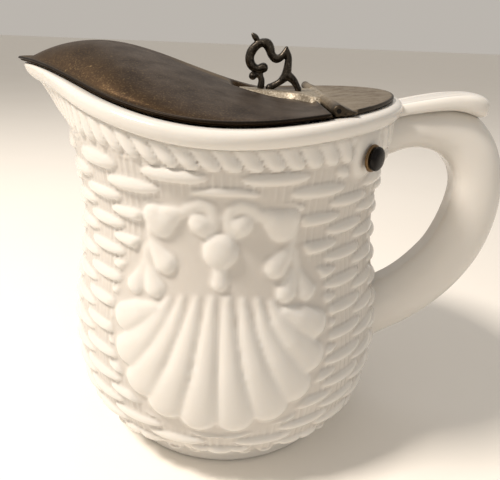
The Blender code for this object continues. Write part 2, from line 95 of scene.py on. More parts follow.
# Matt lacquered board, sprayed: even and pale, with a barely visible mottle and no sharp reflection
paint, tree, shader = surface("matt_lacquered_board")
place = node(tree, "ShaderNodeTexCoord").outputs["Object"]
mottle = node(tree, "ShaderNodeTexNoise", inputs={"Vector": place, "Scale": 1 / (MOTTLE_MM * MM), "Detail": 4.0})
tint = node(tree, "ShaderNodeMix", {"data_type": "RGBA"}, {
    "Factor": mottle.outputs["Fac"], "A": linear(TABLE_COLOUR), "B": linear(TABLE_MOTTLE)})
tree.links.new(tint.outputs["Result"], shader.inputs["Base Color"])
shader.inputs["Roughness"].default_value = 0.6
table.materials.append(paint)

world = bpy.data.worlds.new("room")
world.use_nodes = True
world.node_tree.nodes["Background"].inputs["Color"].default_value = linear(ROOM_COLOUR)
world.node_tree.nodes["Background"].inputs["Strength"].default_value = ROOM_STRENGTH
scene.world = world

LIT_POINT = Vector((0, 0, 0.06))
for name, where, size, power, colour in (
        ("key_lamp", (-0.42, -0.16, 0.68), 0.13, 6.8, "#fff5ea"),
        ("fill_lamp", (0.60, -0.65, 0.35), 0.60, 0.25, "#d5e0f2"),
        ("back_lamp", (0.05, 0.45, 0.70), 0.50, 0.5, "#eef2fa")):
    lamp = bpy.data.lights.new(name, "AREA")
    lamp.size = size
    lamp.energy = power
    lamp.color = linear(colour)[:3]
    holder = add(name, lamp)
    holder.location = where
    holder.rotation_mode = "QUATERNION"
    holder.rotation_quaternion = (LIT_POINT - Vector(where)).to_track_quat("-Z", "Y")

# The camera stands close before the jug, just above its rim, and looks down at it a little tilted
CAMERA_PLACE = (0.004445, -0.156215, 0.121114)
CAMERA_PITCH, CAMERA_YAW, CAMERA_ROLL = 0.37721, 0.01648, 0.03981
camera = bpy.data.cameras.new("camera")
camera.sensor_width = 36.0
camera.lens = 35.885
camera.clip_start, camera.clip_end = 0.01, 100.0
camera_holder = add("camera", camera)
forward = Vector((math.sin(CAMERA_YAW) * math.cos(CAMERA_PITCH), math.cos(CAMERA_YAW) * math.cos(CAMERA_PITCH),
                  -math.sin(CAMERA_PITCH)))
level = Vector((math.cos(CAMERA_YAW), -math.sin(CAMERA_YAW), 0))
upright = level.cross(forward)
right = math.cos(CAMERA_ROLL) * level + math.sin(CAMERA_ROLL) * upright
up = -math.sin(CAMERA_ROLL) * level + math.cos(CAMERA_ROLL) * upright
camera_holder.matrix_world = Matrix.Translation(CAMERA_PLACE) @ Matrix((right, up, -forward)).transposed().to_4x4()
scene.camera = camera_holder

# ---- Jug --------------------------------------------------------------------------------------------
# Body, foot, rim band, spout and handle, pressed in one piece of opaque white opal glass. The mould
# carries a basket weave, a rope of slanted drops under the rim and a shell between scrolls on each face.

FOOT_RADIUS, FOOT_HEIGHT = 37.7, 4.0
BELLY_RADIUS, BELLY_HEIGHT = 49.8, 33.0
WAIST_RADIUS, WAIST_HEIGHT = 45.2, 77.0
NECK_RADIUS, BAND_LOW, RIM_HEIGHT = 48.2, 99.1, 103.3
WALL, FLOOR = 4.2, 6.0
SPOUT_REACH, SPOUT_RISE, SPOUT_ROUND = 61.0, 10.1, 9.0
SPOUT_DEPTH, SPOUT_LIP, SPOUT_FLARE = 14.1, 3.7, 2.4
GAP = 0.3
HANDLE_RISE, HANDLE_RISE_X = 0.111, 8.0
AROUND = 432


def smooth(value):
    """0 to 1 with both ends eased."""
    value = np.clip(value, 0.0, 1.0)
    return value * value * (3 - 2 * value)


def spout_rise(x):
    """How much higher the rim is at x than at its lowest, towards the spout."""
    return SPOUT_RISE * smooth(np.maximum((3 - x) / (3 + SPOUT_REACH), 0.0) ** 1.2)


def rim_rise(x):
    """How much higher the rim is at x than at its lowest, towards the spout and towards the handle."""
    behind = x - HANDLE_RISE_X
    return spout_rise(x) + HANDLE_RISE * (np.hypot(behind, HANDLE_RISE_X) + behind) / 2


def lid_seat(x):
    """Height of the lid's underside over x."""
    return RIM_HEIGHT + GAP + rim_rise(x)


def pear(turn, radius, reach, tip):
    """Distance from the axis to a circle with a rounded spout tip towards -X, at each turn from +X."""
    off = np.abs(math.pi - turn % (2 * math.pi))
    middle = reach - tip
    if middle <= 0 or reach <= radius:
        return np.full_like(turn, radius)
    tangent = math.acos(min((radius - tip) / middle, 1.0))
    leaves_tip = math.atan2(tip * math.sin(tangent), middle + tip * math.cos(tangent))
    across = middle * np.cos(off)
    round_tip = across + np.sqrt(np.maximum(across * across - middle * middle + tip * tip, 0.0))
    straight = radius / np.cos(np.clip(off - tangent, -1.0, 1.0))
    return np.where(off >= tangent, radius, np.where(off > leaves_tip, straight, round_tip))


def body_radius(z):
    """Radius of the body's outside at height z, under the rim band."""
    low = np.clip((z - FOOT_HEIGHT) / (BELLY_HEIGHT - FOOT_HEIGHT), 0, 1)
    middle = np.clip((z - BELLY_HEIGHT) / (WAIST_HEIGHT - BELLY_HEIGHT), 0, 1)
    high = np.clip((z - WAIST_HEIGHT) / (BAND_LOW - WAIST_HEIGHT), 0, 1.3)
    foot = FOOT_RADIUS + (BELLY_RADIUS - FOOT_RADIUS) * np.sqrt(1 - (1 - low) ** 2)
    belly = WAIST_RADIUS + (BELLY_RADIUS - WAIST_RADIUS) * (1 + np.cos(math.pi * middle)) / 2
    neck = WAIST_RADIUS + (NECK_RADIUS - WAIST_RADIUS) * high ** 1.6
    return np.where(z < BELLY_HEIGHT, foot, np.where(z < WAIST_HEIGHT, belly, neck))


def up_spout(z):
    """How far up the spout height z is, from 0 at its root to 1 at the rim band."""
    return np.clip((z - BAND_LOW) / SPOUT_DEPTH + 1, 0.0, 1.0)


def spout_reach(radius, z):
    """How far the spout stands out at height z, on a wall of this radius."""
    return radius + (SPOUT_REACH - SPOUT_LIP - NECK_RADIUS) * float(up_spout(z)) ** SPOUT_FLARE


turns = 2 * math.pi * np.arange(AROUND) / AROUND
# The pattern ends over the foot in a scalloped edge, whose waves fade out above it and below it
EDGE_HEIGHT, SCALLOP_TOP = 10.3, 16.5
SCALLOPS, SCALLOP_HEIGHT = 42, 1.5
scallop = SCALLOP_HEIGHT * (1 - np.abs(np.sin(SCALLOPS / 2 * turns)) ** 0.6)

# One row a level, from the foot up the outside and down the inside: height, radius, spout reach, tip radius,
# share of the rim's rise, share of the scallops, and 1 where the mould's pattern runs
rows = []
for z, radius in ((0.0, 36.2), (0.1, 37.0), (0.5, 37.6), (1.1, 37.75), (2.4, 37.9), (4.0, 38.3), (5.6, 39.2),
                  (7.1, 40.6), (8.4, 42.2), (9.3, 43.1), (10.0, 43.5)):
    rows.append((z, radius, 0.0, SPOUT_ROUND, 0.0, smooth((z - FOOT_HEIGHT) / 6.0), 0.0))
rows.append((EDGE_HEIGHT, 44.0, 0.0, SPOUT_ROUND, 0.0, 1.0, 0.0))
GROUND_DEPTH, ROW_PITCH = 0.5, 0.56
for z in [EDGE_HEIGHT + 0.12, EDGE_HEIGHT + 0.45, *np.arange(EDGE_HEIGHT + 0.9, BAND_LOW - 0.1, ROW_PITCH)]:
    radius = float(body_radius(np.float64(z))) - GROUND_DEPTH
    if z < EDGE_HEIGHT + 0.2:
        radius -= 0.2
    rows.append((z, radius, spout_reach(radius, z), SPOUT_ROUND, float(up_spout(z)) ** 2,
                 smooth((SCALLOP_TOP - z) / 5.5), 1.0))
LIP, LIP_ROUND = SPOUT_REACH - SPOUT_LIP, 9.0
BAND_HEIGHT, BAND_BULGE = RIM_HEIGHT - BAND_LOW, 1.25
# The band swells from a crisp lower line, rounds over at the top and turns down into the mouth
for share, bulge, out in ((-0.06, -0.35, 0.0), (-0.05, 0.25, 0.12), (-0.02, 0.55, 0.25), (0.03, 0.7, 0.35),
                          (0.12, 0.9, 0.5), (0.25, 1.08, 0.66), (0.4, 1.2, 0.8), (0.55, 1.22, 0.9),
                          (0.7, 1.1, 0.96), (0.82, 0.8, 1.0), (0.92, 0.35, 0.98), (0.98, -0.3, 0.92),
                          (1.0, -1.1, 0.83)):
    rows.append((BAND_LOW + BAND_HEIGHT * share, NECK_RADIUS + BAND_BULGE * bulge, LIP + SPOUT_LIP * out, LIP_ROUND,
                 1.0, 0.0, 0.0))
MOUTH, MOUTH_REACH, MOUTH_ROUND, INNER_ROUND = NECK_RADIUS - WALL, SPOUT_REACH - 7.0, 6.5, 7.0
for drop, back in ((0.0, 2.0), (0.12, 1.1), (0.5, 0.5), (1.2, 0.2)):
    rows.append((RIM_HEIGHT - drop, MOUTH + back, MOUTH_REACH + back, MOUTH_ROUND, 1.0, 0.0, 0.0))
for z in (98.5, 95.5, 92.0, 88.0, 84.0, 77.0, 68.0, 59.0, 50.0, 41.0, 33.0, 25.0, 18.0, 13.0, 10.0):
    radius = float(body_radius(np.float64(z))) - WALL
    rows.append((z, radius, spout_reach(radius, z), INNER_ROUND, float(up_spout(z)) ** 2, 0.0, 0.0))
for z, radius in ((FLOOR + 2.2, 38.6), (FLOOR + 1.0, 36.6), (FLOOR + 0.3, 34.0), (FLOOR, 30.0)):
    rows.append((z, radius, 0.0, INNER_ROUND, 0.0, 0.0, 0.0))

level, _, _, _, rise_share, scallop_share, has_pattern = np.array(rows, float).T
height = level[:, None] + np.outer(scallop_share, scallop)
distance = np.array([pear(turns, radius, reach, tip) for _, radius, reach, tip, *_ in rows])
across, along = distance * np.cos(turns), distance * np.sin(turns)
level_z = height + rise_share[:, None] * rim_rise(across)
patterned = has_pattern[:, None] * np.ones(AROUND)

# Face ornament, the same on both sides of each face's middle line. A stroke is its depth and a list of
# (distance from the middle line, height, half width): a scroll, ball, drop or flute of the shell.
ORNAMENT = [
    (1.6, [(17.0, 81.2, 3.4), (15.6, 79.9, 4.2), (13.6, 81.3, 3.2), (11.4, 82.6, 2.1), (9.8, 82.8, 1.6)]),
    (1.35, [(9.8, 82.8, 1.6), (7.7, 84.4, 1.7), (5.0, 85.5, 1.7), (2.5, 84.5, 1.7), (1.6, 82.2, 1.6),
            (2.2, 79.9, 1.7), (4.0, 78.6, 1.9)]),
    (1.7, [(5.6, 80.8, 2.5), (5.2, 80.4, 2.8)]),
    (1.9, [(0.0, 73.9, 4.5), (0.0, 73.5, 4.5)]),
    (1.5, [(0.0, 71.0, 2.3), (0.0, 68.0, 1.9), (0.0, 65.4, 2.3)]),
    (1.6, [(19.4, 79.0, 0.5), (18.9, 75.6, 0.9), (16.6, 71.9, 2.2), (14.4, 69.4, 3.2)]),
    (1.6, [(19.6, 74.0, 0.5), (19.5, 69.0, 0.9), (18.2, 64.8, 2.2), (17.3, 62.4, 3.0)]),
    (1.5, [(20.2, 73.0, 0.5), (20.8, 68.4, 0.8), (22.3, 64.2, 2.0), (23.3, 61.8, 2.8)]),
    (1.8, [(17.4, 56.8, 2.0), (21.4, 54.8, 3.4), (25.6, 52.2, 4.2)]),
    (1.8, [(13.2, 60.0, 1.0), (15.6, 54.5, 2.3), (19.4, 48.6, 3.3), (24.2, 43.0, 4.7)]),
    (1.8, [(9.6, 60.8, 1.0), (11.6, 53.0, 2.1), (15.0, 45.0, 3.1), (20.2, 34.8, 4.9)]),
    (1.8, [(5.8, 61.0, 1.1), (7.2, 52.0, 2.2), (9.6, 41.0, 3.3), (13.5, 29.6, 5.0)]),
    (1.8, [(1.9, 61.2, 1.2), (2.4, 52.0, 2.1), (3.2, 40.0, 3.1), (4.7, 26.6, 4.9)]),
]
ORNAMENT_OUTLINE = [(0, 87.6), (5.6, 87.6), (12, 86.2), (18.5, 84.6), (20.6, 80), (21, 75), (23.5, 70),
                    (27.6, 65), (28.4, 59), (30.2, 55), (30.4, 49), (29.0, 41), (25.0, 32), (19.5, 25.2),
                    (12.0, 22.0), (5.0, 20.6), (0, 20.2)]
# The mould's faces stand a degree off the square across the handle
FACE_AZIMUTH, FACE_RADIUS = 269.0, 46.4
face_turn = ((turns - math.radians(FACE_AZIMUTH) + math.pi / 2) % math.pi) - math.pi / 2
from_middle = np.broadcast_to(np.abs(face_turn) * FACE_RADIUS, height.shape)
# A stroke narrower than this is shallower too
FULL_DEPTH_HALF_WIDTH = 3.2


def along_segment(s0, z0, s1, z1):
    """How far along a segment of the face each point lies, from 0 to 1, and how far off it."""
    run_s, run_z = s1 - s0, z1 - z0
    share = ((from_middle - s0) * run_s + (height - z0) * run_z) / (run_s * run_s + run_z * run_z)
    share = np.clip(share, 0, 1)
    return share, np.hypot(from_middle - s0 - share * run_s, height - z0 - share * run_z)


def stroke_height(depth, knots):
    """Height of one rounded stroke over the face: elliptical across, tapering with its half width."""
    best = np.zeros(height.shape)
    for (s0, z0, w0), (s1, z1, w1) in zip(knots, knots[1:]):
        share, off = along_segment(s0, z0, s1, z1)
        wide = w0 + share * (w1 - w0)
        full = depth * np.clip(wide / FULL_DEPTH_HALF_WIDTH, 0.35, 1.0)
        best = np.maximum(best, full * np.sqrt(np.clip(1 - (off / wide) ** 2, 0, 1)))
    return best


relief = np.zeros(height.shape)
for depth, knots in ORNAMENT:
    relief = np.maximum(relief, stroke_height(depth, knots))

# The weave stops at the outline of the plain ground that the ornament stands on, and fades in outside it
loop = ORNAMENT_OUTLINE + [(-s, z) for s, z in reversed(ORNAMENT_OUTLINE[1:-1])]
inside = np.zeros(height.shape, bool)
edge_distance = np.full(height.shape, 99.0)
for (s0, z0), (s1, z1) in zip(loop, loop[1:] + loop[:1]):
    crosses = (z0 > height) != (z1 > height)
    with np.errstate(divide="ignore", invalid="ignore"):
        inside ^= crosses & (from_middle < (s1 - s0) * (height - z0) / (z1 - z0) + s0)
    edge_distance = np.minimum(edge_distance, along_segment(s0, z0, s1, z1)[1])
woven = np.where(inside, 0.0, smooth(edge_distance / 1.2))

# Pads left plain round the two rivets of the lid's plate, running up into the rim band
RIVET_AZIMUTH, RIVET_HEIGHT = 42.0, 95.3
PAD_RADIUS, PAD_DEPTH = 5.9, 1.1
for sign in (-1, 1):
    off_turn = (turns - math.radians(sign * RIVET_AZIMUTH) + math.pi) % (2 * math.pi) - math.pi
    away = np.hypot(off_turn[None, :] * NECK_RADIUS, np.minimum(height - RIVET_HEIGHT, 0.0))
    pad = smooth((PAD_RADIUS + 1.0 - away) / 2.4) * smooth((BAND_LOW + 0.6 - height) / 3.5) * patterned
    relief = np.where(height < BAND_LOW - 0.2, np.maximum(relief, PAD_DEPTH * pad), relief)
    woven = woven * (1 - smooth((PAD_RADIUS + 3.0 - away) / 2.2))
# Plain strip where the handle's roots join
STRIP_HALF = 9.5
behind = (turns + math.pi) % (2 * math.pi) - math.pi
woven = woven * (1 - smooth((STRIP_HALF - np.abs(behind[None, :]) * 48) / 1.5))

# Fire-polishing has softened every edge of the ornament and of the plain ground round it
outside = patterned[:, 0] > 0
for field in (relief, woven):
    kept = field[outside]
    padded = np.vstack([kept[:1], kept, kept[-1:]])
    kept = (padded[:-2] + 2 * kept + padded[2:]) / 4
    field[outside] = (np.roll(kept, 1, 1) + 2 * kept + np.roll(kept, -1, 1)) / 4

positions = np.stack([across, along, level_z], -1).reshape(-1, 3) * MM
faces = []
for low in range(0, (len(rows) - 1) * AROUND, AROUND):
    for step in range(AROUND):
        after = (step + 1) % AROUND
        faces.append((low + step, low + after, low + AROUND + after, low + AROUND + step))
faces.append(tuple(reversed(range(AROUND))))
faces.append(tuple(range((len(rows) - 1) * AROUND, len(rows) * AROUND)))
jug_mesh = bpy.data.meshes.new("glass_body")
jug_mesh.from_pydata(positions.tolist(), [], faces)
for name, field in (("turn", np.degrees(np.broadcast_to(turns, height.shape))), ("rise", height),
                    ("woven", woven * patterned), ("ornament", relief * patterned), ("patterned", patterned),
                    ("spout_rise", spout_rise(across))):
    layer = jug_mesh.attributes.new(name, "FLOAT", "POINT")
    layer.data.foreach_set("value", np.ascontiguousarray(field, np.float32).ravel())
jug_body = add("glass_body", jug_mesh)

# Opal glass, pressed and fire-polished: milky white with a little light inside it and a wet gloss, a
# faint waviness from the mould, and grey shade painted into the lowest lines of the pattern. The peel that
# the fire-polish leaves is finer on the real glass, and is drawn coarser so that it shows.
CLOUD_MM, WAVE_MM, PEEL_MM = 45.5, 7.0, 0.7
opal_glass, tree, shader = surface("fire_polished_opal_glass")
place = node(tree, "ShaderNodeTexCoord").outputs["Object"]
hollow = node(tree, "ShaderNodeAttribute", {"attribute_name": "depth"}).outputs["Fac"]
cloud = node(tree, "ShaderNodeTexNoise", inputs={"Vector": place, "Scale": 1 / (CLOUD_MM * MM), "Detail": 3.0})
milk = node(tree, "ShaderNodeMix", {"data_type": "RGBA"}, {
    "Factor": cloud.outputs["Fac"], "A": linear("#dfdad2"), "B": linear("#dad8d4")})
# Painted shade: the lower the relief at a point, the greyer its colour, standing in for the shade in the pattern's
# hollows
recess_shade_amount = node(tree, "ShaderNodeMapRange", {"interpolation_type": "SMOOTHSTEP"}, {
    "Value": hollow, "From Min": 0.0, "From Max": 0.7, "To Min": 0.36, "To Max": 0.0})
recess_shaded = node(tree, "ShaderNodeMix", {"data_type": "RGBA"}, {
    "Factor": recess_shade_amount.outputs["Result"], "A": milk.outputs["Result"], "B": linear("#a59a8e")})
tree.links.new(recess_shaded.outputs["Result"], shader.inputs["Base Color"])
wave = node(tree, "ShaderNodeTexNoise", inputs={"Vector": place, "Scale": 1 / (WAVE_MM * MM), "Detail": 2.0})
peel = node(tree, "ShaderNodeTexNoise", inputs={"Vector": place, "Scale": 1 / (PEEL_MM * MM), "Detail": 1.0})
wavy = node(tree, "ShaderNodeBump", inputs={"Height": wave.outputs["Fac"], "Strength": 0.35, "Distance": 0.0004})
peeled = node(tree, "ShaderNodeBump", inputs={
    "Height": peel.outputs["Fac"], "Strength": 0.12, "Distance": 0.0001, "Normal": wavy.outputs["Normal"]})
tree.links.new(peeled.outputs["Normal"], shader.inputs["Normal"])
gloss = node(tree, "ShaderNodeMapRange", inputs={
    "Value": wave.outputs["Fac"], "From Min": 0.3, "From Max": 0.7, "To Min": 0.1, "To Max": 0.2})
tree.links.new(gloss.outputs["Result"], shader.inputs["Roughness"])
shader.inputs["IOR"].default_value = 1.5
shader.inputs["Subsurface Weight"].default_value = 0.25
shader.inputs["Subsurface Radius"].default_value = (1.0, 0.85, 0.7)
shader.inputs["Subsurface Scale"].default_value = 0.0012

# The weave and the rope follow rules round the jug, so a Geometry Nodes tree cuts them into the wall.
weave = bpy.data.node_groups.new("mould_pattern", "GeometryNodeTree")
weave.interface.new_socket("Geometry", in_out="INPUT", socket_type="NodeSocketGeometry")
PATTERN_SIZES = {"Weft Pitch": 15.0, "Weft Height": 3.75, "Weft Start": 88.2, "Weft Depth": 1.4, "Stake Pitch": 2.3,
                 "Stake Depth": 0.28, "Drop Pitch": 6.0, "Drop Depth": 1.5, "Drop Lean": 5.0, "Band Low": BAND_LOW}
for name in PATTERN_SIZES:
    weave.interface.new_socket(name, in_out="INPUT", socket_type="NodeSocketFloat")
weave.interface.new_socket("Glass", in_out="INPUT", socket_type="NodeSocketMaterial")
weave.interface.new_socket("Geometry", in_out="OUTPUT", socket_type="NodeSocketGeometry")
given = node(weave, "NodeGroupInput").outputs
values = {name: given[name] for name in PATTERN_SIZES}
for name in ("turn", "rise", "woven", "ornament", "patterned", "spout_rise"):
    read = node(weave, "GeometryNodeInputNamedAttribute", {"data_type": "FLOAT"}, {"Name": name})
    values[name] = read.outputs["Attribute"]


def strand_rules(f, column_shift, course_shift):
    """Rules, with names that start with f, for one family of weft strands: almonds along the turn, round across."""
    return [
        (f + "half", "MULTIPLY_ADD", "column", 0.5, column_shift), (f + "off", "FRACT", f + "half"),
        (f + "along", "SUBTRACT", f + "off", 0.5), (f + "along_two", "MULTIPLY", f + "along", f + "along"),
        (f + "leaf", "MULTIPLY_ADD", f + "along_two", -8.2, 1.0), (f + "open", "MAXIMUM", f + "leaf", 0.0),
        (f + "bulk", "POWER", f + "open", 0.8), (f + "course", "ADD", "row", course_shift),
        (f + "in_row", "FRACT", f + "course"), (f + "across", "MULTIPLY_ADD", f + "in_row", 4.2, -2.1),
        (f + "across_two", "MULTIPLY", f + "across", f + "across"),
        (f + "bite", "SUBTRACT", f + "bulk", f + "across_two"), (f + "deep", "MAXIMUM", f + "bite", 0.0),
        (f + "round", "POWER", f + "deep", 0.6), (f + "tilt", "MULTIPLY_ADD", f + "across", -0.3, 1.0),
        (f + "weft", "MULTIPLY", f + "round", f + "tilt")]


# Each rule names its result, a Math node's operation, and what it works on: an earlier result or a number
RULES = [
    # Weft strands: each passes over one column of stakes and under the next, half a row on
    ("column", "DIVIDE", "turn", "Weft Pitch"), ("pair_height", "MULTIPLY", "Weft Height", 2.0),
    ("below", "SUBTRACT", "rise", "Weft Start"), ("row", "DIVIDE", "below", "pair_height"),
    *strand_rules("even_", 0.5, 30.5), *strand_rules("odd_", 0.0, 31.0),
    ("strands", "MAXIMUM", "even_weft", "odd_weft"), ("weft", "MULTIPLY", "strands", "Weft Depth"),
    # Thin upright stakes, seen between the strands; their uneven join is under the handle, where all is plain
    ("stake_place", "DIVIDE", "turn", "Stake Pitch"), ("stake_turn", "MULTIPLY", "stake_place", 2 * math.pi),
    ("stake_wave", "COSINE", "stake_turn"), ("stake_up", "MAXIMUM", "stake_wave", 0.0),
    ("stake", "MULTIPLY", "stake_up", "Stake Depth"),
    ("basket", "MAXIMUM", "weft", "stake"), ("basket_here", "MULTIPLY", "basket", "woven"),
    # Rope of slanted drops: its lower edge climbs with the spout, and each drop ends in a round bulb
    ("climb", "MULTIPLY", "spout_rise", 0.3), ("climb_most", "MINIMUM", "climb", 1.2),
    ("drop_end", "ADD", "climb_most", 93.5), ("drop_length", "SUBTRACT", "Band Low", "drop_end"),
    ("from_band", "SUBTRACT", "Band Low", "rise"), ("down_drop", "DIVIDE", "from_band", "drop_length"),
    ("above", "SUBTRACT", 1.0, "down_drop"), ("above_bent", "MAXIMUM", "above", 0.0),
    ("above_power", "POWER", "above_bent", 1.3), ("lean", "MULTIPLY", "above_power", "Drop Lean"),
    ("drop_turn", "ADD", "turn", "lean"), ("drop_place", "DIVIDE", "drop_turn", "Drop Pitch"),
    ("drop_fraction", "FRACT", "drop_place"), ("drop_middle", "SUBTRACT", "drop_fraction", 0.5),
    ("across_drop", "MULTIPLY", "drop_middle", 2.0), ("across_drop_two", "MULTIPLY", "across_drop", "across_drop"),
    ("past", "SUBTRACT", "down_drop", 0.6), ("past_end", "MAXIMUM", "past", 0.0), ("end", "DIVIDE", "past_end", 0.4),
    ("end_two", "MULTIPLY", "end", "end"), ("drop_side", "SUBTRACT", 1.0, "across_drop_two"),
    ("drop_left", "SUBTRACT", "drop_side", "end_two"), ("drop_open", "MAXIMUM", "drop_left", 0.0),
    ("drop_round", "POWER", "drop_open", 0.5), ("swell", "MULTIPLY_ADD", "down_drop", 0.75, 0.3),
    ("swell_most", "MINIMUM", "swell", 1.0), ("drop_high", "MULTIPLY", "drop_round", "swell_most"),
    ("drop", "MULTIPLY", "drop_high", "Drop Depth"), ("in_rope", "LESS_THAN", "down_drop", 1.0),
    ("off_pad", "MULTIPLY_ADD", "ornament", -1.8, 1.0), ("no_pad", "MAXIMUM", "off_pad", 0.0),
    ("rope_here", "MULTIPLY", "in_rope", "no_pad"),
    ("rope_on", "MULTIPLY", "rope_here", "patterned"), ("rope", "MULTIPLY", "drop", "rope_on"),
    ("after_rope", "MULTIPLY_ADD", "down_drop", 6.0, -5.8), ("basket_in", "MAXIMUM", "after_rope", 0.0),
    ("basket_share", "MINIMUM", "basket_in", 1.0), ("basket_on", "MULTIPLY", "basket_here", "basket_share"),
    ("pattern", "MAXIMUM", "basket_on", "rope"), ("relief", "MAXIMUM", "pattern", "ornament"),
    ("plain", "SUBTRACT", 1.0, "patterned"), ("depth", "ADD", "relief", "plain"),
]
for name, operation, *parts in RULES:
    inputs = {number: values.get(part, part) for number, part in enumerate(parts)}
    values[name] = node(weave, "ShaderNodeMath", {"operation": operation}, inputs).outputs[0]
radians = node(weave, "ShaderNodeMath", {"operation": "RADIANS"}, {0: values["turn"]}).outputs[0]
cosine = node(weave, "ShaderNodeMath", {"operation": "COSINE"}, {0: radians}).outputs[0]
sine = node(weave, "ShaderNodeMath", {"operation": "SINE"}, {0: radians}).outputs[0]
out_way = node(weave, "ShaderNodeCombineXYZ", inputs={"X": cosine, "Y": sine}).outputs[0]
metres = node(weave, "ShaderNodeMath", {"operation": "MULTIPLY"}, {0: values["relief"], 1: MM}).outputs[0]
shift = node(weave, "ShaderNodeVectorMath", {"operation": "SCALE"}, {0: out_way, "Scale": metres}).outputs[0]
# The relief height is kept on the glass, so that shade can be painted into the pattern's lowest lines
kept = node(weave, "GeometryNodeStoreNamedAttribute", {"data_type": "FLOAT", "domain": "POINT"}, {
    "Geometry": given["Geometry"], "Name": "depth", "Value": values["depth"]})
moved = node(weave, "GeometryNodeSetPosition", inputs={"Geometry": kept.outputs[0], "Offset": shift})
real = node(weave, "GeometryNodeRealizeInstances", inputs={"Geometry": moved.outputs[0]})
glazed = node(weave, "GeometryNodeSetMaterial", inputs={"Geometry": real.outputs[0], "Material": given["Glass"]})
node(weave, "NodeGroupOutput", inputs={"Geometry": glazed.outputs[0]})


def settle(obj):
    """Puts the shape that obj's modifiers give into its own mesh, and takes the modifiers off."""
    bpy.context.view_layer.update()
    graph = bpy.context.evaluated_depsgraph_get()
    obj.data = bpy.data.meshes.new_from_object(obj.evaluated_get(graph), preserve_all_data_layers=True, depsgraph=graph)
    obj.modifiers.clear()
    return obj.data


def run_tree(obj, tree_group, sizes):
    """The plain mesh that a Geometry Nodes tree makes of obj with the given sizes."""
    modifier = obj.modifiers.new(tree_group.name, "NODES")
    modifier.node_group = tree_group
    for socket in tree_group.interface.items_tree:
        if socket.in_out == "INPUT" and socket.name in sizes:
            modifier[socket.identifier] = sizes[socket.name]
    return settle(obj)


body_mesh = run_tree(jug_body, weave, {**PATTERN_SIZES, "Glass": opal_glass})


def smooth_mesh(name, parts, angle=40.0):
    """One mesh of several (points in millimetres, faces) parts, its faces turned outwards and shaded smooth."""
    points, polygons = [], []
    for part_points, part_faces in parts:
        start = len(points)
        points.extend(part_points)
        polygons.extend(tuple(start + corner for corner in face) for face in part_faces)
    mesh = bpy.data.meshes.new(name)
    mesh.from_pydata([tuple(MM * float(value) for value in point) for point in points], [], polygons)
    work = bmesh.new()
    work.from_mesh(mesh)
    bmesh.ops.remove_doubles(work, verts=work.verts, dist=1e-7)
    bmesh.ops.recalc_face_normals(work, faces=work.faces)
    work.to_mesh(mesh)
    work.free()
    mesh.shade_smooth()
    mesh.set_sharp_from_angle(angle=math.radians(angle))
    return mesh


def skin(rings, close_ends=True):
    """Points and faces of a tube through rings of equal count."""
    count = len(rings[0])
    points = [point for ring in rings for point in ring]
    polygons = []
    for ring in range(len(rings) - 1):
        for step in range(count):
            after = (step + 1) % count
            low, high = ring * count, (ring + 1) * count
            polygons.append((low + step, low + after, high + after, high + step))
    if close_ends:
        polygons.append(tuple(reversed(range(count))))
        polygons.append(tuple(range(len(points) - count, len(points))))
    return points, polygons


def curve_through(knots, steps):
    """Points of a smooth curve through every knot, steps of them to each span."""
    knots = [np.array(knot, float) for knot in knots]
    made = []
    for index in range(len(knots) - 1):
        a, b = knots[max(index - 1, 0)], knots[index]
        c, d = knots[index + 1], knots[min(index + 2, len(knots) - 1)]
        for step in range(steps):
            t = step / steps
            made.append(b + t * ((c - a) + t * ((2 * a - 5 * b + 4 * c - d) + t * (3 * b - a - 3 * c + d))) / 2)
    made.append(knots[-1])
    return made


# Handle: a stout loop of the same glass, rounded outside, with a narrow flat along its inner edge.
# A station is the inner edge (x, z) and the outer edge (x, z) of the loop, and its half width.
HANDLE_STATIONS = [
    ((46.5, 89.2), (46.5, 103.0), 6.4), ((50.0, 90.9), (50.0, 103.2), 6.3), ((54.5, 92.6), (53.5, 103.8), 6.2),
    ((59.0, 92.9), (59.6, 104.4), 6.2), ((63.4, 91.8), (66.5, 104.9), 6.3), ((67.0, 89.4), (73.6, 103.4), 6.4),
    ((69.6, 86.0), (79.6, 98.2), 6.5), ((70.9, 82.0), (83.9, 91.2), 6.5), ((70.9, 77.4), (86.4, 82.6), 6.5),
    ((69.9, 72.0), (87.2, 74.6), 6.5), ((68.3, 66.8), (86.4, 66.0), 6.5), ((66.0, 61.6), (84.2, 57.8), 6.6),
    ((62.8, 57.2), (80.6, 50.4), 6.6), ((59.2, 53.2), (76.0, 43.8), 6.7), ((55.4, 49.9), (69.8, 37.2), 6.8),
    ((51.6, 47.4), (62.6, 31.6), 7.1), ((49.4, 45.9), (56.6, 28.2), 7.4), ((47.4, 44.6), (50.6, 24.6), 7.8),
    ((45.6, 43.6), (47.4, 22.4), 8.0),
]
stations = curve_through([(*low, *high, wide) for low, high, wide in HANDLE_STATIONS], 4)
SECTION = 56
handle_rings = []
for in_x, in_z, out_x, out_z, wide in stations:
    middle = np.array([(in_x + out_x) / 2, (in_z + out_z) / 2])
    half = np.array([out_x - in_x, out_z - in_z]) / 2
    ring = []
    for step in range(SECTION):
        turn = 2 * math.pi * (step + 0.5) / SECTION
        a, b = math.cos(turn), math.sin(turn)
        if a >= 0:
            a, b = a ** 0.92, math.copysign(abs(b) ** 0.86, b)
        else:
            # The ellipse of the inner half is cut off flat before it closes
            a, b = max(a * 1.09, -1.0), math.copysign(abs(b) ** 0.9, b)
        x, z = middle + half * a
        ring.append((x, wide * b, z))
    handle_rings.append(ring)

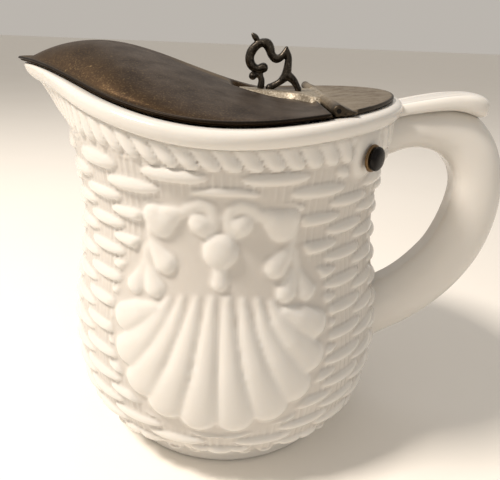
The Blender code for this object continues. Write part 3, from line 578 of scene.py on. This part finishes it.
# Thumb ledge: a slab along the top of the handle, its long edges rolled up and its end rounded over.
# A station is x, the top's height, the thickness and the half width.
LEDGE_STATIONS = [
    (46.0, 105.3, 4.6, 6.4), (49.4, 105.7, 4.1, 6.6), (52.0, 106.3, 3.9, 7.1), (56.0, 107.2, 4.0, 7.6),
    (61.0, 108.2, 4.2, 7.9), (66.0, 109.1, 4.8, 8.0), (70.0, 109.6, 5.8, 8.0), (72.8, 109.4, 6.4, 7.6),
    (74.8, 108.7, 6.1, 6.8), (75.9, 107.7, 4.6, 5.6), (76.3, 106.7, 2.2, 3.9),
]
EDGE_ROLL = 0.55
ledge_rings = []
for x, top, thick, wide in curve_through(LEDGE_STATIONS, 4):
    roll = EDGE_ROLL * smooth((74 - x) / 12)
    ring = []
    for step in range(SECTION):
        turn = 2 * math.pi * (step + 0.5) / SECTION
        a, b = math.cos(turn), math.sin(turn)
        y = wide * math.copysign(abs(a) ** 0.7, a)
        z = top - thick / 2 + thick / 2 * math.copysign(abs(b) ** 0.55, b)
        dish = roll * (smooth((abs(y) / wide - 0.55) / 0.35) - smooth((abs(y) / wide - 0.9) / 0.15)) if b > 0 else 0.0
        ring.append((x, y, z + dish))
    ledge_rings.append(ring)
loop_mesh = smooth_mesh("glass_loop", [skin(handle_rings)], 19.0)
grip_mesh = smooth_mesh("glass_grip", [skin(ledge_rings)], 50.0)
for mesh in (loop_mesh, grip_mesh):
    # The plain handle gets none of the shade painted into the pattern's hollows
    clean = mesh.attributes.new("depth", "FLOAT", "POINT")
    clean.data.foreach_set("value", np.ones(len(mesh.vertices), np.float32))

joined = bmesh.new()
for mesh in (body_mesh, loop_mesh, grip_mesh):
    joined.from_mesh(mesh)
for face in joined.faces:
    face.smooth = True
    face.material_index = 0
whole = bpy.data.meshes.new("glass_jug_pressed")
joined.to_mesh(whole)
joined.free()
whole.materials.append(opal_glass)
for name in ("turn", "rise", "woven", "ornament", "patterned", "spout_rise"):
    whole.attributes.remove(whole.attributes[name])
whole.set_sharp_from_angle(angle=math.radians(55))
jug_body.data = whole
jug_body.name = "glass_jug_pressed"
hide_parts("glass_jug")
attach(jug_body, "jug")

# ---- Rear plate and hinge pin -----------------------------------------------------------------------
# A half-moon of rolled pewter lies on the rim behind the hinge, held by the rivets. Its front edge is
# wrapped round the pin as two long knuckles.

LID_RADIUS, LID_WALL, HINGE_X, KNUCKLE_RADIUS = 47.0, 1.0, 25.8, 1.4
KNUCKLE_SHARE = 27.0
HINGE_Z = float(lid_seat(HINGE_X)) + KNUCKLE_RADIUS
HINGE_HALF = math.sqrt(LID_RADIUS ** 2 - (HINGE_X + KNUCKLE_RADIUS) ** 2) - GAP


# Pewter that hands and years have dulled. Tarnish clouds it from dark to mid, pale grit and spots show where
# it has come away, faint rubs run across, and soft dents bend the light. A value stored on each point paints
# it paler where it is rubbed or has a painted highlight, and near black where shade is painted.
GRIT_MM, SPOT_MM, DENT_MM, RUB_LONG_MM, RUB_WIDE_MM = 0.45, 5.5, 9.0, 11.1, 0.714


def pewter(name, dark, mid, light, rough, speck, cloud_mm):
    """Old pewter in three shades, this rough, with this share of pale specks and tarnish clouds this far apart."""
    made, tree, shader = surface(name)
    place = node(tree, "ShaderNodeTexCoord").outputs["Object"]
    cloud = node(tree, "ShaderNodeTexNoise", inputs={
        "Vector": place, "Scale": 1 / (cloud_mm * MM), "Detail": 6.0, "Roughness": 0.62})
    bands = node(tree, "ShaderNodeValToRGB", inputs={"Fac": cloud.outputs["Fac"]})
    bands.color_ramp.elements[0].position, bands.color_ramp.elements[0].color = 0.32, linear(dark)
    bands.color_ramp.elements[1].position, bands.color_ramp.elements[1].color = 0.72, linear(mid)
    grit = node(tree, "ShaderNodeTexNoise", inputs={"Vector": place, "Scale": 1 / (GRIT_MM * MM), "Detail": 3.0})
    grit_here = node(tree, "ShaderNodeMapRange", inputs={
        "Value": grit.outputs["Fac"], "From Min": 0.52, "From Max": 0.75, "To Min": 0.0, "To Max": speck})
    speckled = node(tree, "ShaderNodeMix", {"data_type": "RGBA"}, {
        "Factor": grit_here.outputs["Result"], "A": bands.outputs["Color"], "B": linear(light)})
    spot = node(tree, "ShaderNodeTexVoronoi", inputs={"Vector": place, "Scale": 1 / (SPOT_MM * MM)})
    spot_here = node(tree, "ShaderNodeMapRange", inputs={
        "Value": spot.outputs["Distance"], "From Min": 0.03, "From Max": 0.075, "To Min": 0.75, "To Max": 0.0})
    spotted = node(tree, "ShaderNodeMix", {"data_type": "RGBA"}, {
        "Factor": spot_here.outputs["Result"], "A": speckled.outputs["Result"], "B": linear(light)})
    wear_and_light = node(tree, "ShaderNodeAttribute", {"attribute_name": "wear_and_light"}).outputs["Fac"]
    # Painted shade: below zero the colour darkens to near black; above zero it pales, for rubbed metal and for painted
    # highlights
    painted_shade_here = node(tree, "ShaderNodeMapRange", inputs={
        "Value": wear_and_light, "From Min": 0.0, "From Max": -1.0, "To Min": 0.0, "To Max": 0.85})
    painted_shaded = node(tree, "ShaderNodeMix", {"data_type": "RGBA"}, {
        "Factor": painted_shade_here.outputs["Result"], "A": spotted.outputs["Result"], "B": linear("#14100c")})
    rub_and_highlight_here = node(tree, "ShaderNodeMapRange", inputs={
        "Value": wear_and_light, "From Min": 0.0, "From Max": 1.0, "To Min": 0.0, "To Max": 0.7})
    rubbed_and_highlighted = node(tree, "ShaderNodeMix", {"data_type": "RGBA"}, {
        "Factor": rub_and_highlight_here.outputs["Result"], "A": painted_shaded.outputs["Result"], "B": linear(light)})
    tree.links.new(rubbed_and_highlighted.outputs["Result"], shader.inputs["Base Color"])
    worn = node(tree, "ShaderNodeMapRange", inputs={
        "Value": cloud.outputs["Fac"], "From Min": 0.3, "From Max": 0.7, "To Min": rough + 0.1, "To Max": rough - 0.06})
    tree.links.new(worn.outputs["Result"], shader.inputs["Roughness"])
    long_way = node(tree, "ShaderNodeMapping", inputs={
        "Vector": place, "Rotation": (0.0, 0.0, 0.5),
        "Scale": (1 / (RUB_LONG_MM * MM), 1 / (RUB_WIDE_MM * MM), 1 / (RUB_LONG_MM * MM))})
    rub = node(tree, "ShaderNodeTexNoise", inputs={"Vector": long_way.outputs["Vector"], "Scale": 1.0, "Detail": 2.0})
    dents = node(tree, "ShaderNodeTexNoise", inputs={"Vector": place, "Scale": 1 / (DENT_MM * MM), "Detail": 1.0})
    dented = node(tree, "ShaderNodeBump", inputs={"Height": dents.outputs["Fac"], "Strength": 0.5, "Distance": 0.0006})
    rubbed = node(tree, "ShaderNodeBump", inputs={
        "Height": rub.outputs["Fac"], "Strength": 0.1, "Distance": 0.0001, "Normal": dented.outputs["Normal"]})
    gritty = node(tree, "ShaderNodeBump", inputs={
        "Height": grit.outputs["Fac"], "Strength": 0.22, "Distance": 0.0001, "Normal": rubbed.outputs["Normal"]})
    tree.links.new(gritty.outputs["Normal"], shader.inputs["Normal"])
    shader.inputs["Metallic"].default_value = 0.86
    return made


# Rolled pewter sheet, rubbed by hands: taupe, paler than the lid, in small clouds with a satin shine
rolled_pewter = pewter("rubbed_rolled_pewter", "#6a5b49", "#92836d", "#c2b59c", 0.45, 0.45, 4.0)

PLATE_SLOPE, PLATE_NARROWING = 0.109, 0.35
EDGE_X = HINGE_X + KNUCKLE_RADIUS + 0.1
corner = math.acos(EDGE_X / LID_RADIUS)
plate_outline = [(LID_RADIUS * math.cos(turn), LID_RADIUS * math.sin(turn))
                 for turn in np.linspace(-corner, corner, 121)]
plate_outline += [(EDGE_X, y) for y in np.linspace(plate_outline[-1][1], plate_outline[0][1], 60)[1:-1]]
CENTRE_X = 34.0


def plate_point(x, y, inset, up_by):
    """A point of the plate, drawn in from the outline towards the plate's middle line."""
    length = math.hypot(x - CENTRE_X, y * PLATE_NARROWING)
    drawn_x = CENTRE_X + (x - CENTRE_X) * (1 - inset / max(length, 1e-6))
    return (drawn_x, y * (1 - inset / LID_RADIUS), float(lid_seat(EDGE_X)) + PLATE_SLOPE * (drawn_x - EDGE_X) + up_by)


plate_rings = []
for inset, up_by in ((3.2, 0.02), (0.35, 0.0), (0.08, 0.16), (0.0, 0.5), (0.08, 0.86), (0.35, 1.06), (0.9, 1.14),
                     (1.6, 1.1), (3.2, 1.04)):
    plate_rings.append([plate_point(x, y, inset, up_by) for x, y in plate_outline])
parts = [skin(plate_rings)]
KNUCKLE_TAIL = 4.6
for low_y, high_y in ((-HINGE_HALF, -KNUCKLE_SHARE / 2 - GAP), (KNUCKLE_SHARE / 2 + GAP, HINGE_HALF)):
    # The sheet rises off the plate, round the pin and back under itself
    wrap = []
    for turn in np.linspace(math.radians(58), math.radians(300), 40):
        wrap.append((HINGE_X + KNUCKLE_RADIUS * math.cos(turn), HINGE_Z + KNUCKLE_RADIUS * math.sin(turn)))
    wrap += [(HINGE_X + x, HINGE_Z + z) for x, z in ((1.5, -1.32), (3.4, -0.9), (KNUCKLE_TAIL, -0.25), (3.2, 0.15),
                                                     (1.9, 0.55))]
    rings = []
    length = high_y - low_y
    for share, shrink in ((0.0, 0.55), (0.004, 0.8), (0.014, 0.96), (0.03, 1.0), (0.5, 1.0), (0.97, 1.0), (0.986, 0.96),
                          (0.996, 0.8), (1.0, 0.55)):
        rings.append([(HINGE_X + (x - HINGE_X) * shrink, low_y + share * length, HINGE_Z + (z - HINGE_Z) * shrink)
                      for x, z in wrap])
    parts.append(skin(rings))
plate_mesh = smooth_mesh("rear_plate_rolled", parts, 50.0)
plate_mesh.materials.append(rolled_pewter)


def set_wear_and_light(mesh, wear_and_light_at):
    """Stores how much paler (up to 1: rubbed metal or a painted highlight) or darker (down to -1: painted shade) the
    metal is at each vertex, from its place in millimetres.
    """
    layer = mesh.attributes.new("wear_and_light", "FLOAT", "POINT")
    layer.data.foreach_set("value", [float(wear_and_light_at(*(vertex.co / MM))) for vertex in mesh.vertices])


def plate_wear_and_shade(x, y, z):
    """Painted shade round the edge and at the knuckles' ends; the knuckles are rubbed, the flat only in faint streaks.
    """
    if x < HINGE_X + KNUCKLE_TAIL:
        return -0.9 if abs(y) > HINGE_HALF - 1.6 else 0.25
    return -1.0 if math.hypot(x, y) > LID_RADIUS - 0.45 else 0.15 * math.sin(0.9 * y)


set_wear_and_light(plate_mesh, plate_wear_and_shade)
rear_plate = add("rear_plate_rolled", plate_mesh)
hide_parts("rear_plate")
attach(rear_plate, "jug")

# Iron, drawn to wire or headed cold, then blackened in the fire: a deep, almost even black whose thin scale
# gives a patchy, rather sharp shine. The pin stays as the CAD has it, since only its two cut ends show.
iron, tree, shader = surface("blackened_iron")
place = node(tree, "ShaderNodeTexCoord").outputs["Object"]
IRON_SCALE_MM = 1.2
scale_noise = node(tree, "ShaderNodeTexNoise", inputs={
    "Vector": place, "Scale": 1 / (IRON_SCALE_MM * MM), "Detail": 4.0})
black = node(tree, "ShaderNodeMix", {"data_type": "RGBA"}, {
    "Factor": scale_noise.outputs["Fac"], "A": linear("#060505"), "B": linear("#1a1512")})
tree.links.new(black.outputs["Result"], shader.inputs["Base Color"])
worked = node(tree, "ShaderNodeBump", inputs={
    "Height": scale_noise.outputs["Fac"], "Strength": 0.3, "Distance": 0.0001})
tree.links.new(worked.outputs["Normal"], shader.inputs["Normal"])
shader.inputs["Metallic"].default_value = 0.7
shader.inputs["Roughness"].default_value = 0.24
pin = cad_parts["hinge_pin"]
pin.data.materials.clear()
pin.data.materials.append(iron)

# ---- Rivets, washers, burrs and lugs ----------------------------------------------------------------
# Black round-headed rivets go through a brass washer, the neck, a pewter lug and a brass burr, one set
# each side of the handle. One Geometry Nodes tree sets each turned shape at the two places.

RIVET_RADIUS, HEAD_RADIUS, HEAD_HEIGHT, TAIL_RADIUS = 1.6, 3.1, 1.6, 2.48
WASHER_RADIUS, BURR_RADIUS, WASHER_THICKNESS = 3.5, 3.2, 0.7
LUG_WIDTH, LUG_THICKNESS, LUG_DROP, PAD_STANDS = 7.0, 1.0, 4.6, 1.0
OUT_FACE = float(body_radius(np.float64(RIVET_HEIGHT))) + PAD_STANDS
# The flat lug touches the round wall along its two long edges, so its middle stands off by the arc's height
LUG_OUT = (float(body_radius(np.float64(RIVET_HEIGHT - LUG_DROP))) - WALL - GAP
           - LUG_WIDTH ** 2 / 8 / WAIST_RADIUS)
HEAD_LOW = OUT_FACE + 2 * GAP + WASHER_THICKNESS
TAIL_HIGH = LUG_OUT - LUG_THICKNESS - 2 * GAP - WASHER_THICKNESS

pair = bpy.data.node_groups.new("pair_on_the_neck", "GeometryNodeTree")
pair.interface.new_socket("Geometry", in_out="INPUT", socket_type="NodeSocketGeometry")
pair.interface.new_socket("Azimuth", in_out="INPUT", socket_type="NodeSocketFloat")
pair.interface.new_socket("Height", in_out="INPUT", socket_type="NodeSocketFloat")
pair.interface.new_socket("Metal", in_out="INPUT", socket_type="NodeSocketMaterial")
pair.interface.new_socket("Geometry", in_out="OUTPUT", socket_type="NodeSocketGeometry")
given = node(pair, "NodeGroupInput").outputs
spot_at = node(pair, "ShaderNodeCombineXYZ", inputs={"Z": given["Height"]}).outputs[0]
two = node(pair, "GeometryNodePoints", inputs={"Count": 2, "Position": spot_at})
number = node(pair, "GeometryNodeInputIndex").outputs[0]
which = node(pair, "ShaderNodeMath", {"operation": "MULTIPLY_ADD"}, {0: number, 1: 2.0, 2: -1.0}).outputs[0]
way = node(pair, "ShaderNodeMath", {"operation": "MULTIPLY"}, {0: which, 1: given["Azimuth"]}).outputs[0]
facing = node(pair, "ShaderNodeCombineXYZ", inputs={"Z": way}).outputs[0]
spin = node(pair, "FunctionNodeEulerToRotation", inputs={0: facing}).outputs[0]
placed = node(pair, "GeometryNodeInstanceOnPoints", inputs={
    "Points": two.outputs[0], "Instance": given["Geometry"], "Rotation": spin})
real = node(pair, "GeometryNodeRealizeInstances", inputs={"Geometry": placed.outputs[0]})
finish = node(pair, "GeometryNodeSetMaterial", inputs={"Geometry": real.outputs[0], "Material": given["Metal"]})
node(pair, "NodeGroupOutput", inputs={"Geometry": finish.outputs[0]})


def turned(profile, sides=48, closed=False):
    """A turned shape about X from (distance out of the jug, radius) points."""
    angles = [2 * math.pi * step / sides for step in range(sides)]
    rings = [[(out, radius * math.cos(angle), radius * math.sin(angle)) for angle in angles] for out, radius in profile]
    if closed:
        rings.append(rings[0])
    return skin(rings, not closed)


def set_pair(name, shape, metal, nodes):
    """Sets a turned shape at both rivet places, as one piece in place of its two nodes."""
    piece = add(name, smooth_mesh(name, [shape], 35.0))
    run_tree(piece, pair, {"Azimuth": math.radians(RIVET_AZIMUTH), "Height": RIVET_HEIGHT * MM, "Metal": metal})
    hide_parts(*nodes)
    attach(piece, "jug")


# Stamped sheet brass, never polished since: patches from dull yellow to brown, with a low satin shine
BRASS_PATCH_MM = 1.5
brass, tree, shader = surface("aged_brass")
place = node(tree, "ShaderNodeTexCoord").outputs["Object"]
age = node(tree, "ShaderNodeTexNoise", inputs={"Vector": place, "Scale": 1 / (BRASS_PATCH_MM * MM), "Detail": 4.0})
brown = node(tree, "ShaderNodeMix", {"data_type": "RGBA"}, {
    "Factor": age.outputs["Fac"], "A": linear("#4a3826"), "B": linear("#9a7f5c")})
tree.links.new(brown.outputs["Result"], shader.inputs["Base Color"])
shader.inputs["Metallic"].default_value = 0.9
shader.inputs["Roughness"].default_value = 0.4

# From the flattened tail inside the neck, along the shank, to the round head outside
rivet = [(TAIL_HIGH - 0.9, 1.2), (TAIL_HIGH - 0.8, 1.9), (TAIL_HIGH - 0.45, 2.4), (TAIL_HIGH, TAIL_RADIUS),
         (TAIL_HIGH, RIVET_RADIUS), (HEAD_LOW, RIVET_RADIUS)]
rivet += [(HEAD_LOW + out, HEAD_RADIUS - less) for out, less in (
    (0.0, 0.2), (0.12, 0.04), (0.5, 0.0), (0.85, 0.1), (1.2, 0.4), (1.42, 0.9), (1.55, 1.6), (HEAD_HEIGHT, 2.5))]
set_pair("rivets_black", turned(rivet), iron, ("rivet_near", "rivet_far"))
HOLE = RIVET_RADIUS + GAP
washer = [(0.0, HOLE)] + [(out, WASHER_RADIUS - less) for out, less in (
    (0.0, 0.1), (0.1, 0.0), (0.26, 0.0), (0.33, 0.14), (0.4, 0.14), (0.46, 0.06), (0.62, 0.1),
    (WASHER_THICKNESS, 0.22))] + [(WASHER_THICKNESS, HOLE)]
set_pair("washers_brass", turned([(OUT_FACE + GAP + out, radius) for out, radius in washer], closed=True), brass,
         ("washer_near", "washer_far"))
BURR_LOW = LUG_OUT - LUG_THICKNESS - GAP - WASHER_THICKNESS
burr = [(0.0, HOLE), (0.0, BURR_RADIUS - 0.1), (0.1, BURR_RADIUS), (WASHER_THICKNESS - 0.1, BURR_RADIUS),
        (WASHER_THICKNESS, BURR_RADIUS - 0.1), (WASHER_THICKNESS, HOLE)]
set_pair("burrs_brass", turned([(BURR_LOW + out, radius) for out, radius in burr], closed=True), brass,
         ("burr_near", "burr_far"))
# The lugs are bent from the plate's own sheet, and stay as the CAD has them
for name in ("lug_near", "lug_far"):
    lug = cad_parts[name]
    lug.data.materials.clear()
    lug.data.materials.append(rolled_pewter)

# ---- Lid --------------------------------------------------------------------------------------------
# One sheet of pewter, raised to a dome over the spout and left flat round the rim, with a small bead
# turned along its edge. It lifts with the strap that is soldered on top.

LID_REACH, LID_ROUND, FLANGE, DOME_HEIGHT = 62.6, 8.0, 2.4, 10.2
LEAF_X = HINGE_X - 5.0
CREASE_HEIGHT, CREASE_WIDTH = 0.35, 2.6
STRAP_START, STRAP_WIDTH, STRAP_CLIMB = 2.0, 8.0, 0.6
STRAP_BACK = float(lid_seat(LEAF_X)) + LID_WALL + GAP + 0.1

# Raised pewter, long tarnished: deep brown-grey and cloudy, with pale specks and a low sheen
raised_pewter = pewter("tarnished_raised_pewter", "#2d2014", "#493620", "#8a7450", 0.44, 0.4, 9.0)


def strap_underside(x):
    """Height of the strap's underside, which climbs a little towards its front end."""
    return STRAP_BACK + STRAP_CLIMB * (LEAF_X - x) / (LEAF_X - STRAP_START)


def half_widths(x):
    """Half the width of the dome's foot at each x, by bisection on the pear outline."""
    low, high = np.zeros_like(x), np.full_like(x, LID_RADIUS)
    for _ in range(30):
        y = (low + high) / 2
        shape = pear(np.arctan2(y, x), LID_RADIUS - FLANGE, LID_REACH - FLANGE, LID_ROUND - FLANGE)
        within = np.hypot(x, y) < shape
        low, high = np.where(within, y, low), np.where(within, high, y)
    return low


def dome_height(x, y):
    """How far the lid's sheet stands over its flat rim at (x, y)."""
    start = -LID_REACH + FLANGE + 1.0
    share = np.clip((x - start) / (LEAF_X - start), 0.0, 1.0)
    wide = np.maximum(half_widths(x), 1e-3)
    crown = DOME_HEIGHT * np.sin(math.pi * share ** 0.76).clip(0) ** 1.3
    cross = np.clip(1 - (y / wide) ** 2, 0, 1) ** 0.8
    # A soft crease runs along the crown from the spout to the strap
    crease = CREASE_HEIGHT * np.exp(-(y / CREASE_WIDTH) ** 2) * smooth((x + 50) / 20) * smooth((6 - x) / 10)
    high = crown * cross + crease * (crown > 0.5)
    # The sheet is pressed down under the strap, so that the strap lies on it
    ceiling = strap_underside(np.maximum(x, STRAP_START)) - GAP - 0.1 - lid_seat(x) - LID_WALL
    seated = smooth((STRAP_WIDTH / 2 + 5.5 - np.abs(y)) / 3) * smooth((x - STRAP_START + 3.6) / 3)
    high = high - seated * np.maximum(high - ceiling, 0.0)
    return np.where((share <= 0) | (share >= 1) | (np.abs(y) >= wide), 0.0, high)


BACK_EDGE = HINGE_X - KNUCKLE_RADIUS - GAP - 0.1
corner = math.acos(BACK_EDGE / LID_RADIUS)
lid_turns = np.linspace(corner, 2 * math.pi - corner, 221)
edge = pear(lid_turns, LID_RADIUS, LID_REACH, LID_ROUND)
outline_y = edge * np.sin(lid_turns)
back_y = np.linspace(outline_y[-1], outline_y[0], 92)[1:-1]
outline_x = np.concatenate([edge * np.cos(lid_turns), np.full(len(back_y), BACK_EDGE)])
outline_y = np.concatenate([outline_y, back_y])
# Rings of the outline shrink towards a middle point; the outermost ones carry the bead
MIDDLE_X = -14.0
rings_in = [(1.0, -0.1), (0.9945, 0.24), (0.985, 0.34), (0.974, 0.16), (0.963, 0.02), (0.952, -0.02)]
rings_in += [(share, 0.0) for share in np.linspace(0.94, 0.02, 62)]
top_rings = []
for share, bead in rings_in:
    x = MIDDLE_X + (outline_x - MIDDLE_X) * share
    y = outline_y * share
    top_rings.append(np.stack([x, y, lid_seat(x) + LID_WALL + dome_height(x, y) + bead], -1).tolist())
lid_points, lid_faces = skin(top_rings, False)
centre, around = len(lid_points), len(outline_x)
middle_x, middle_y = np.array([MIDDLE_X]), np.array([0.0])
lid_points.append((MIDDLE_X, 0.0, float((lid_seat(middle_x) + LID_WALL + dome_height(middle_x, middle_y))[0])))
lid_faces += [(centre - around + step, centre - around + (step + 1) % around, centre) for step in range(around)]
lid_mesh = smooth_mesh("lid_raised", [(lid_points, lid_faces)], 60.0)
# An open sheet can come out facing down, and the wall grows away from the face that looks up
if lid_mesh.polygons[len(lid_mesh.polygons) // 2].normal.z < 0:
    lid_mesh.flip_normals()
lid_mesh.materials.append(raised_pewter)


def lid_wear_and_light(x, y, z):
    """Painted shade along the very edge and the back edge, a painted shadow beside the strap, a painted highlight along
    the crown, and a paler band just inside the bead.
    """
    rim = float(pear(np.array([math.atan2(y, x)]), LID_RADIUS, LID_REACH, LID_ROUND)[0])
    from_edge = rim - math.hypot(x, y)
    if x > BACK_EDGE - 0.6:
        return -0.6
    # Painted shadow where the strap stands over the sheet, and a painted highlight along the crown
    strap_side_shadow = math.exp(-((abs(y) - 6.5 - max(x - 14, 0) * 0.7) / 2.4) ** 2) if x > 1 else 0.0
    crown = max(1 - (y / 5) ** 2, 0) * max(1 - ((x + 6) / 14) ** 2, 0)
    if from_edge < 0.4:
        return -1.0
    return max(0.7 * (1 - abs(from_edge - 1.5) / 0.9), 0.7 * crown, 0.0) - 0.75 * strap_side_shadow


set_wear_and_light(lid_mesh, lid_wear_and_light)
lid = add("lid_raised", lid_mesh)
wall = lid.modifiers.new("wall", "SOLIDIFY")
wall.thickness = LID_WALL * MM
wall.offset = -1
wall.use_even_offset = True
lid_mesh = settle(lid)
# Hands never reach the underside and no light or shade is painted there, so of each pair of points through the wall
# only the upper one keeps its value
one_face = len(lid_mesh.vertices) // 2
for index in range(one_face):
    above = lid_mesh.vertices[index].co.z > lid_mesh.vertices[index + one_face].co.z
    lid_mesh.attributes["wear_and_light"].data[index + one_face if above else index].value = 0.0
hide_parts("lid_dome")
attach(lid, "lid")

# ---- Strap ------------------------------------------------------------------------------------------
# A cast pewter bar soldered along the lid's crown. It flares to the hinge and ends in the middle
# knuckle; thumbs and old solder have kept it bright.

# Cast pewter, rubbed and smeared with solder: the palest of the metals, rough, with close specks
worn_pewter = pewter("worn_cast_pewter", "#766c5d", "#aca291", "#ece6d9", 0.62, 0.6, 1.4)
wide = KNUCKLE_SHARE / 2
strap_stations = [(STRAP_START, 2.6), (STRAP_START + 0.5, 3.4), (STRAP_START + 1.6, 3.9), (9.0, 4.0), (15.5, 4.5),
                  (18.2, 5.6), (20.0, 8.2), (21.2, 11.4), (22.0, 13.1), (22.6, wide), (HINGE_X - 0.4, wide)]
# One side of the bar, from the foot of its solder fillet up over the rounded edge: (out past the bar's side,
# height over its underside)
STRAP_SIDE = ((1.1, -0.45), (1.0, -0.2), (0.45, 0.3), (0.2, 0.9), (-0.1, 1.22), (-0.5, 1.36), (-0.9, 1.3), (-1.3, 1.42))
STRAP_CROWN = 1.45
strap_rings = []
for x, reach in strap_stations:
    low = strap_underside(min(x, LEAF_X))
    side = [(x, reach + out, low + up_by) for out, up_by in STRAP_SIDE]
    strap_rings.append(side + [(x, 0.0, low + STRAP_CROWN)] + [(x, -y, z) for _, y, z in reversed(side)])
barrel = []
for share, shrink in ((0.0, 0.86), (0.006, 0.96), (0.02, 1.0), (0.98, 1.0), (0.994, 0.96), (1.0, 0.86)):
    radius, angles = KNUCKLE_RADIUS * shrink, [2 * math.pi * step / 40 for step in range(40)]
    barrel.append([(HINGE_X + radius * math.cos(angle), -wide + 2 * wide * share, HINGE_Z + radius * math.sin(angle))
                   for angle in angles])
strap_mesh = smooth_mesh("strap_cast", [skin(strap_rings), skin(barrel)], 40.0)
strap_mesh.materials.append(worn_pewter)
strap = add("strap_cast", strap_mesh)
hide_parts("hinge_strap")
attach(strap, "lid")

# ---- Thumb lift -------------------------------------------------------------------------------------
# A small openwork scroll of cast pewter, dark with age, soldered upright on the strap. The lid is thrown
# back with a thumb on it. Rounded limbs are fused and eased, as a worn casting is.

LIFT_HALF, FULLNESS, VOXEL = 1.75, 1.08, 0.16
# Each limb of the casting is a run of (x, height, radius)
LIMBS = [
    [(5.5, 123.3, 0.5), (6.3, 122.5, 0.85), (7.1, 121.5, 0.6), (7.6, 121.0, 0.9)],
    [(8.0, 121.2, 1.0), (9.7, 120.9, 1.4), (10.7, 119.4, 1.3), (10.9, 118.4, 1.1)],
    [(8.4, 121.3, 1.05), (6.6, 120.3, 1.2), (5.2, 118.5, 1.3), (4.8, 116.6, 1.3), (5.5, 114.8, 1.25),
     (7.2, 113.9, 1.15), (8.9, 114.3, 1.4)],
    [(10.6, 119.6, 1.1), (11.3, 117.9, 1.15), (12.6, 116.9, 1.15), (14.1, 117.5, 1.0), (15.1, 118.9, 0.8),
     (15.5, 120.0, 0.5)],
    [(15.5, 119.9, 0.5), (16.2, 117.7, 0.9), (16.2, 115.7, 1.1), (16.0, 113.5, 1.3), (15.7, 112.1, 1.4)],
    [(15.7, 112.1, 1.35), (14.1, 110.5, 0.95), (12.3, 109.4, 0.95), (11.0, 108.7, 1.1)],
    [(16.2, 112.5, 1.3), (18.0, 111.1, 1.1), (19.1, 109.6, 0.95), (19.7, 108.5, 0.95)],
    [(5.9, 111.9, 1.15), (7.3, 112.3, 0.75), (8.5, 111.0, 0.9), (8.4, 108.9, 1.05)],
    [(8.0, 113.4, 0.8), (8.3, 111.6, 0.8)],
]
beads = bmesh.new()
for limb in LIMBS:
    for x, z, radius in curve_through(limb, 9):
        place_bead = Matrix.Translation((x * MM, 0, z * MM)) @ Matrix.Diagonal(
            (radius * FULLNESS * MM, min(LIFT_HALF, radius * 1.25 + 0.25) * MM, radius * FULLNESS * MM, 1))
        bmesh.ops.create_icosphere(beads, subdivisions=2, radius=1.0, matrix=place_bead)
lift_mesh = bpy.data.meshes.new("thumb_lift_cast")
beads.to_mesh(lift_mesh)
beads.free()
lift = add("thumb_lift_cast", lift_mesh)
fused = lift.modifiers.new("fused", "REMESH")
fused.mode = "VOXEL"
fused.voxel_size = VOXEL * MM
eased = lift.modifiers.new("eased", "SMOOTH")
eased.factor = 0.6
eased.iterations = 4
lift_cast = settle(lift)
lift_cast.shade_smooth()
# Cast pewter, nearly black with tarnish, with a soft polish where thumbs have rubbed it
cast_pewter = pewter("dark_cast_pewter", "#1c1916", "#4c453c", "#9a8f80", 0.3, 0.3, 2.0)
lift_cast.materials.append(cast_pewter)
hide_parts("thumb_lift")
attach(lift, "lid")
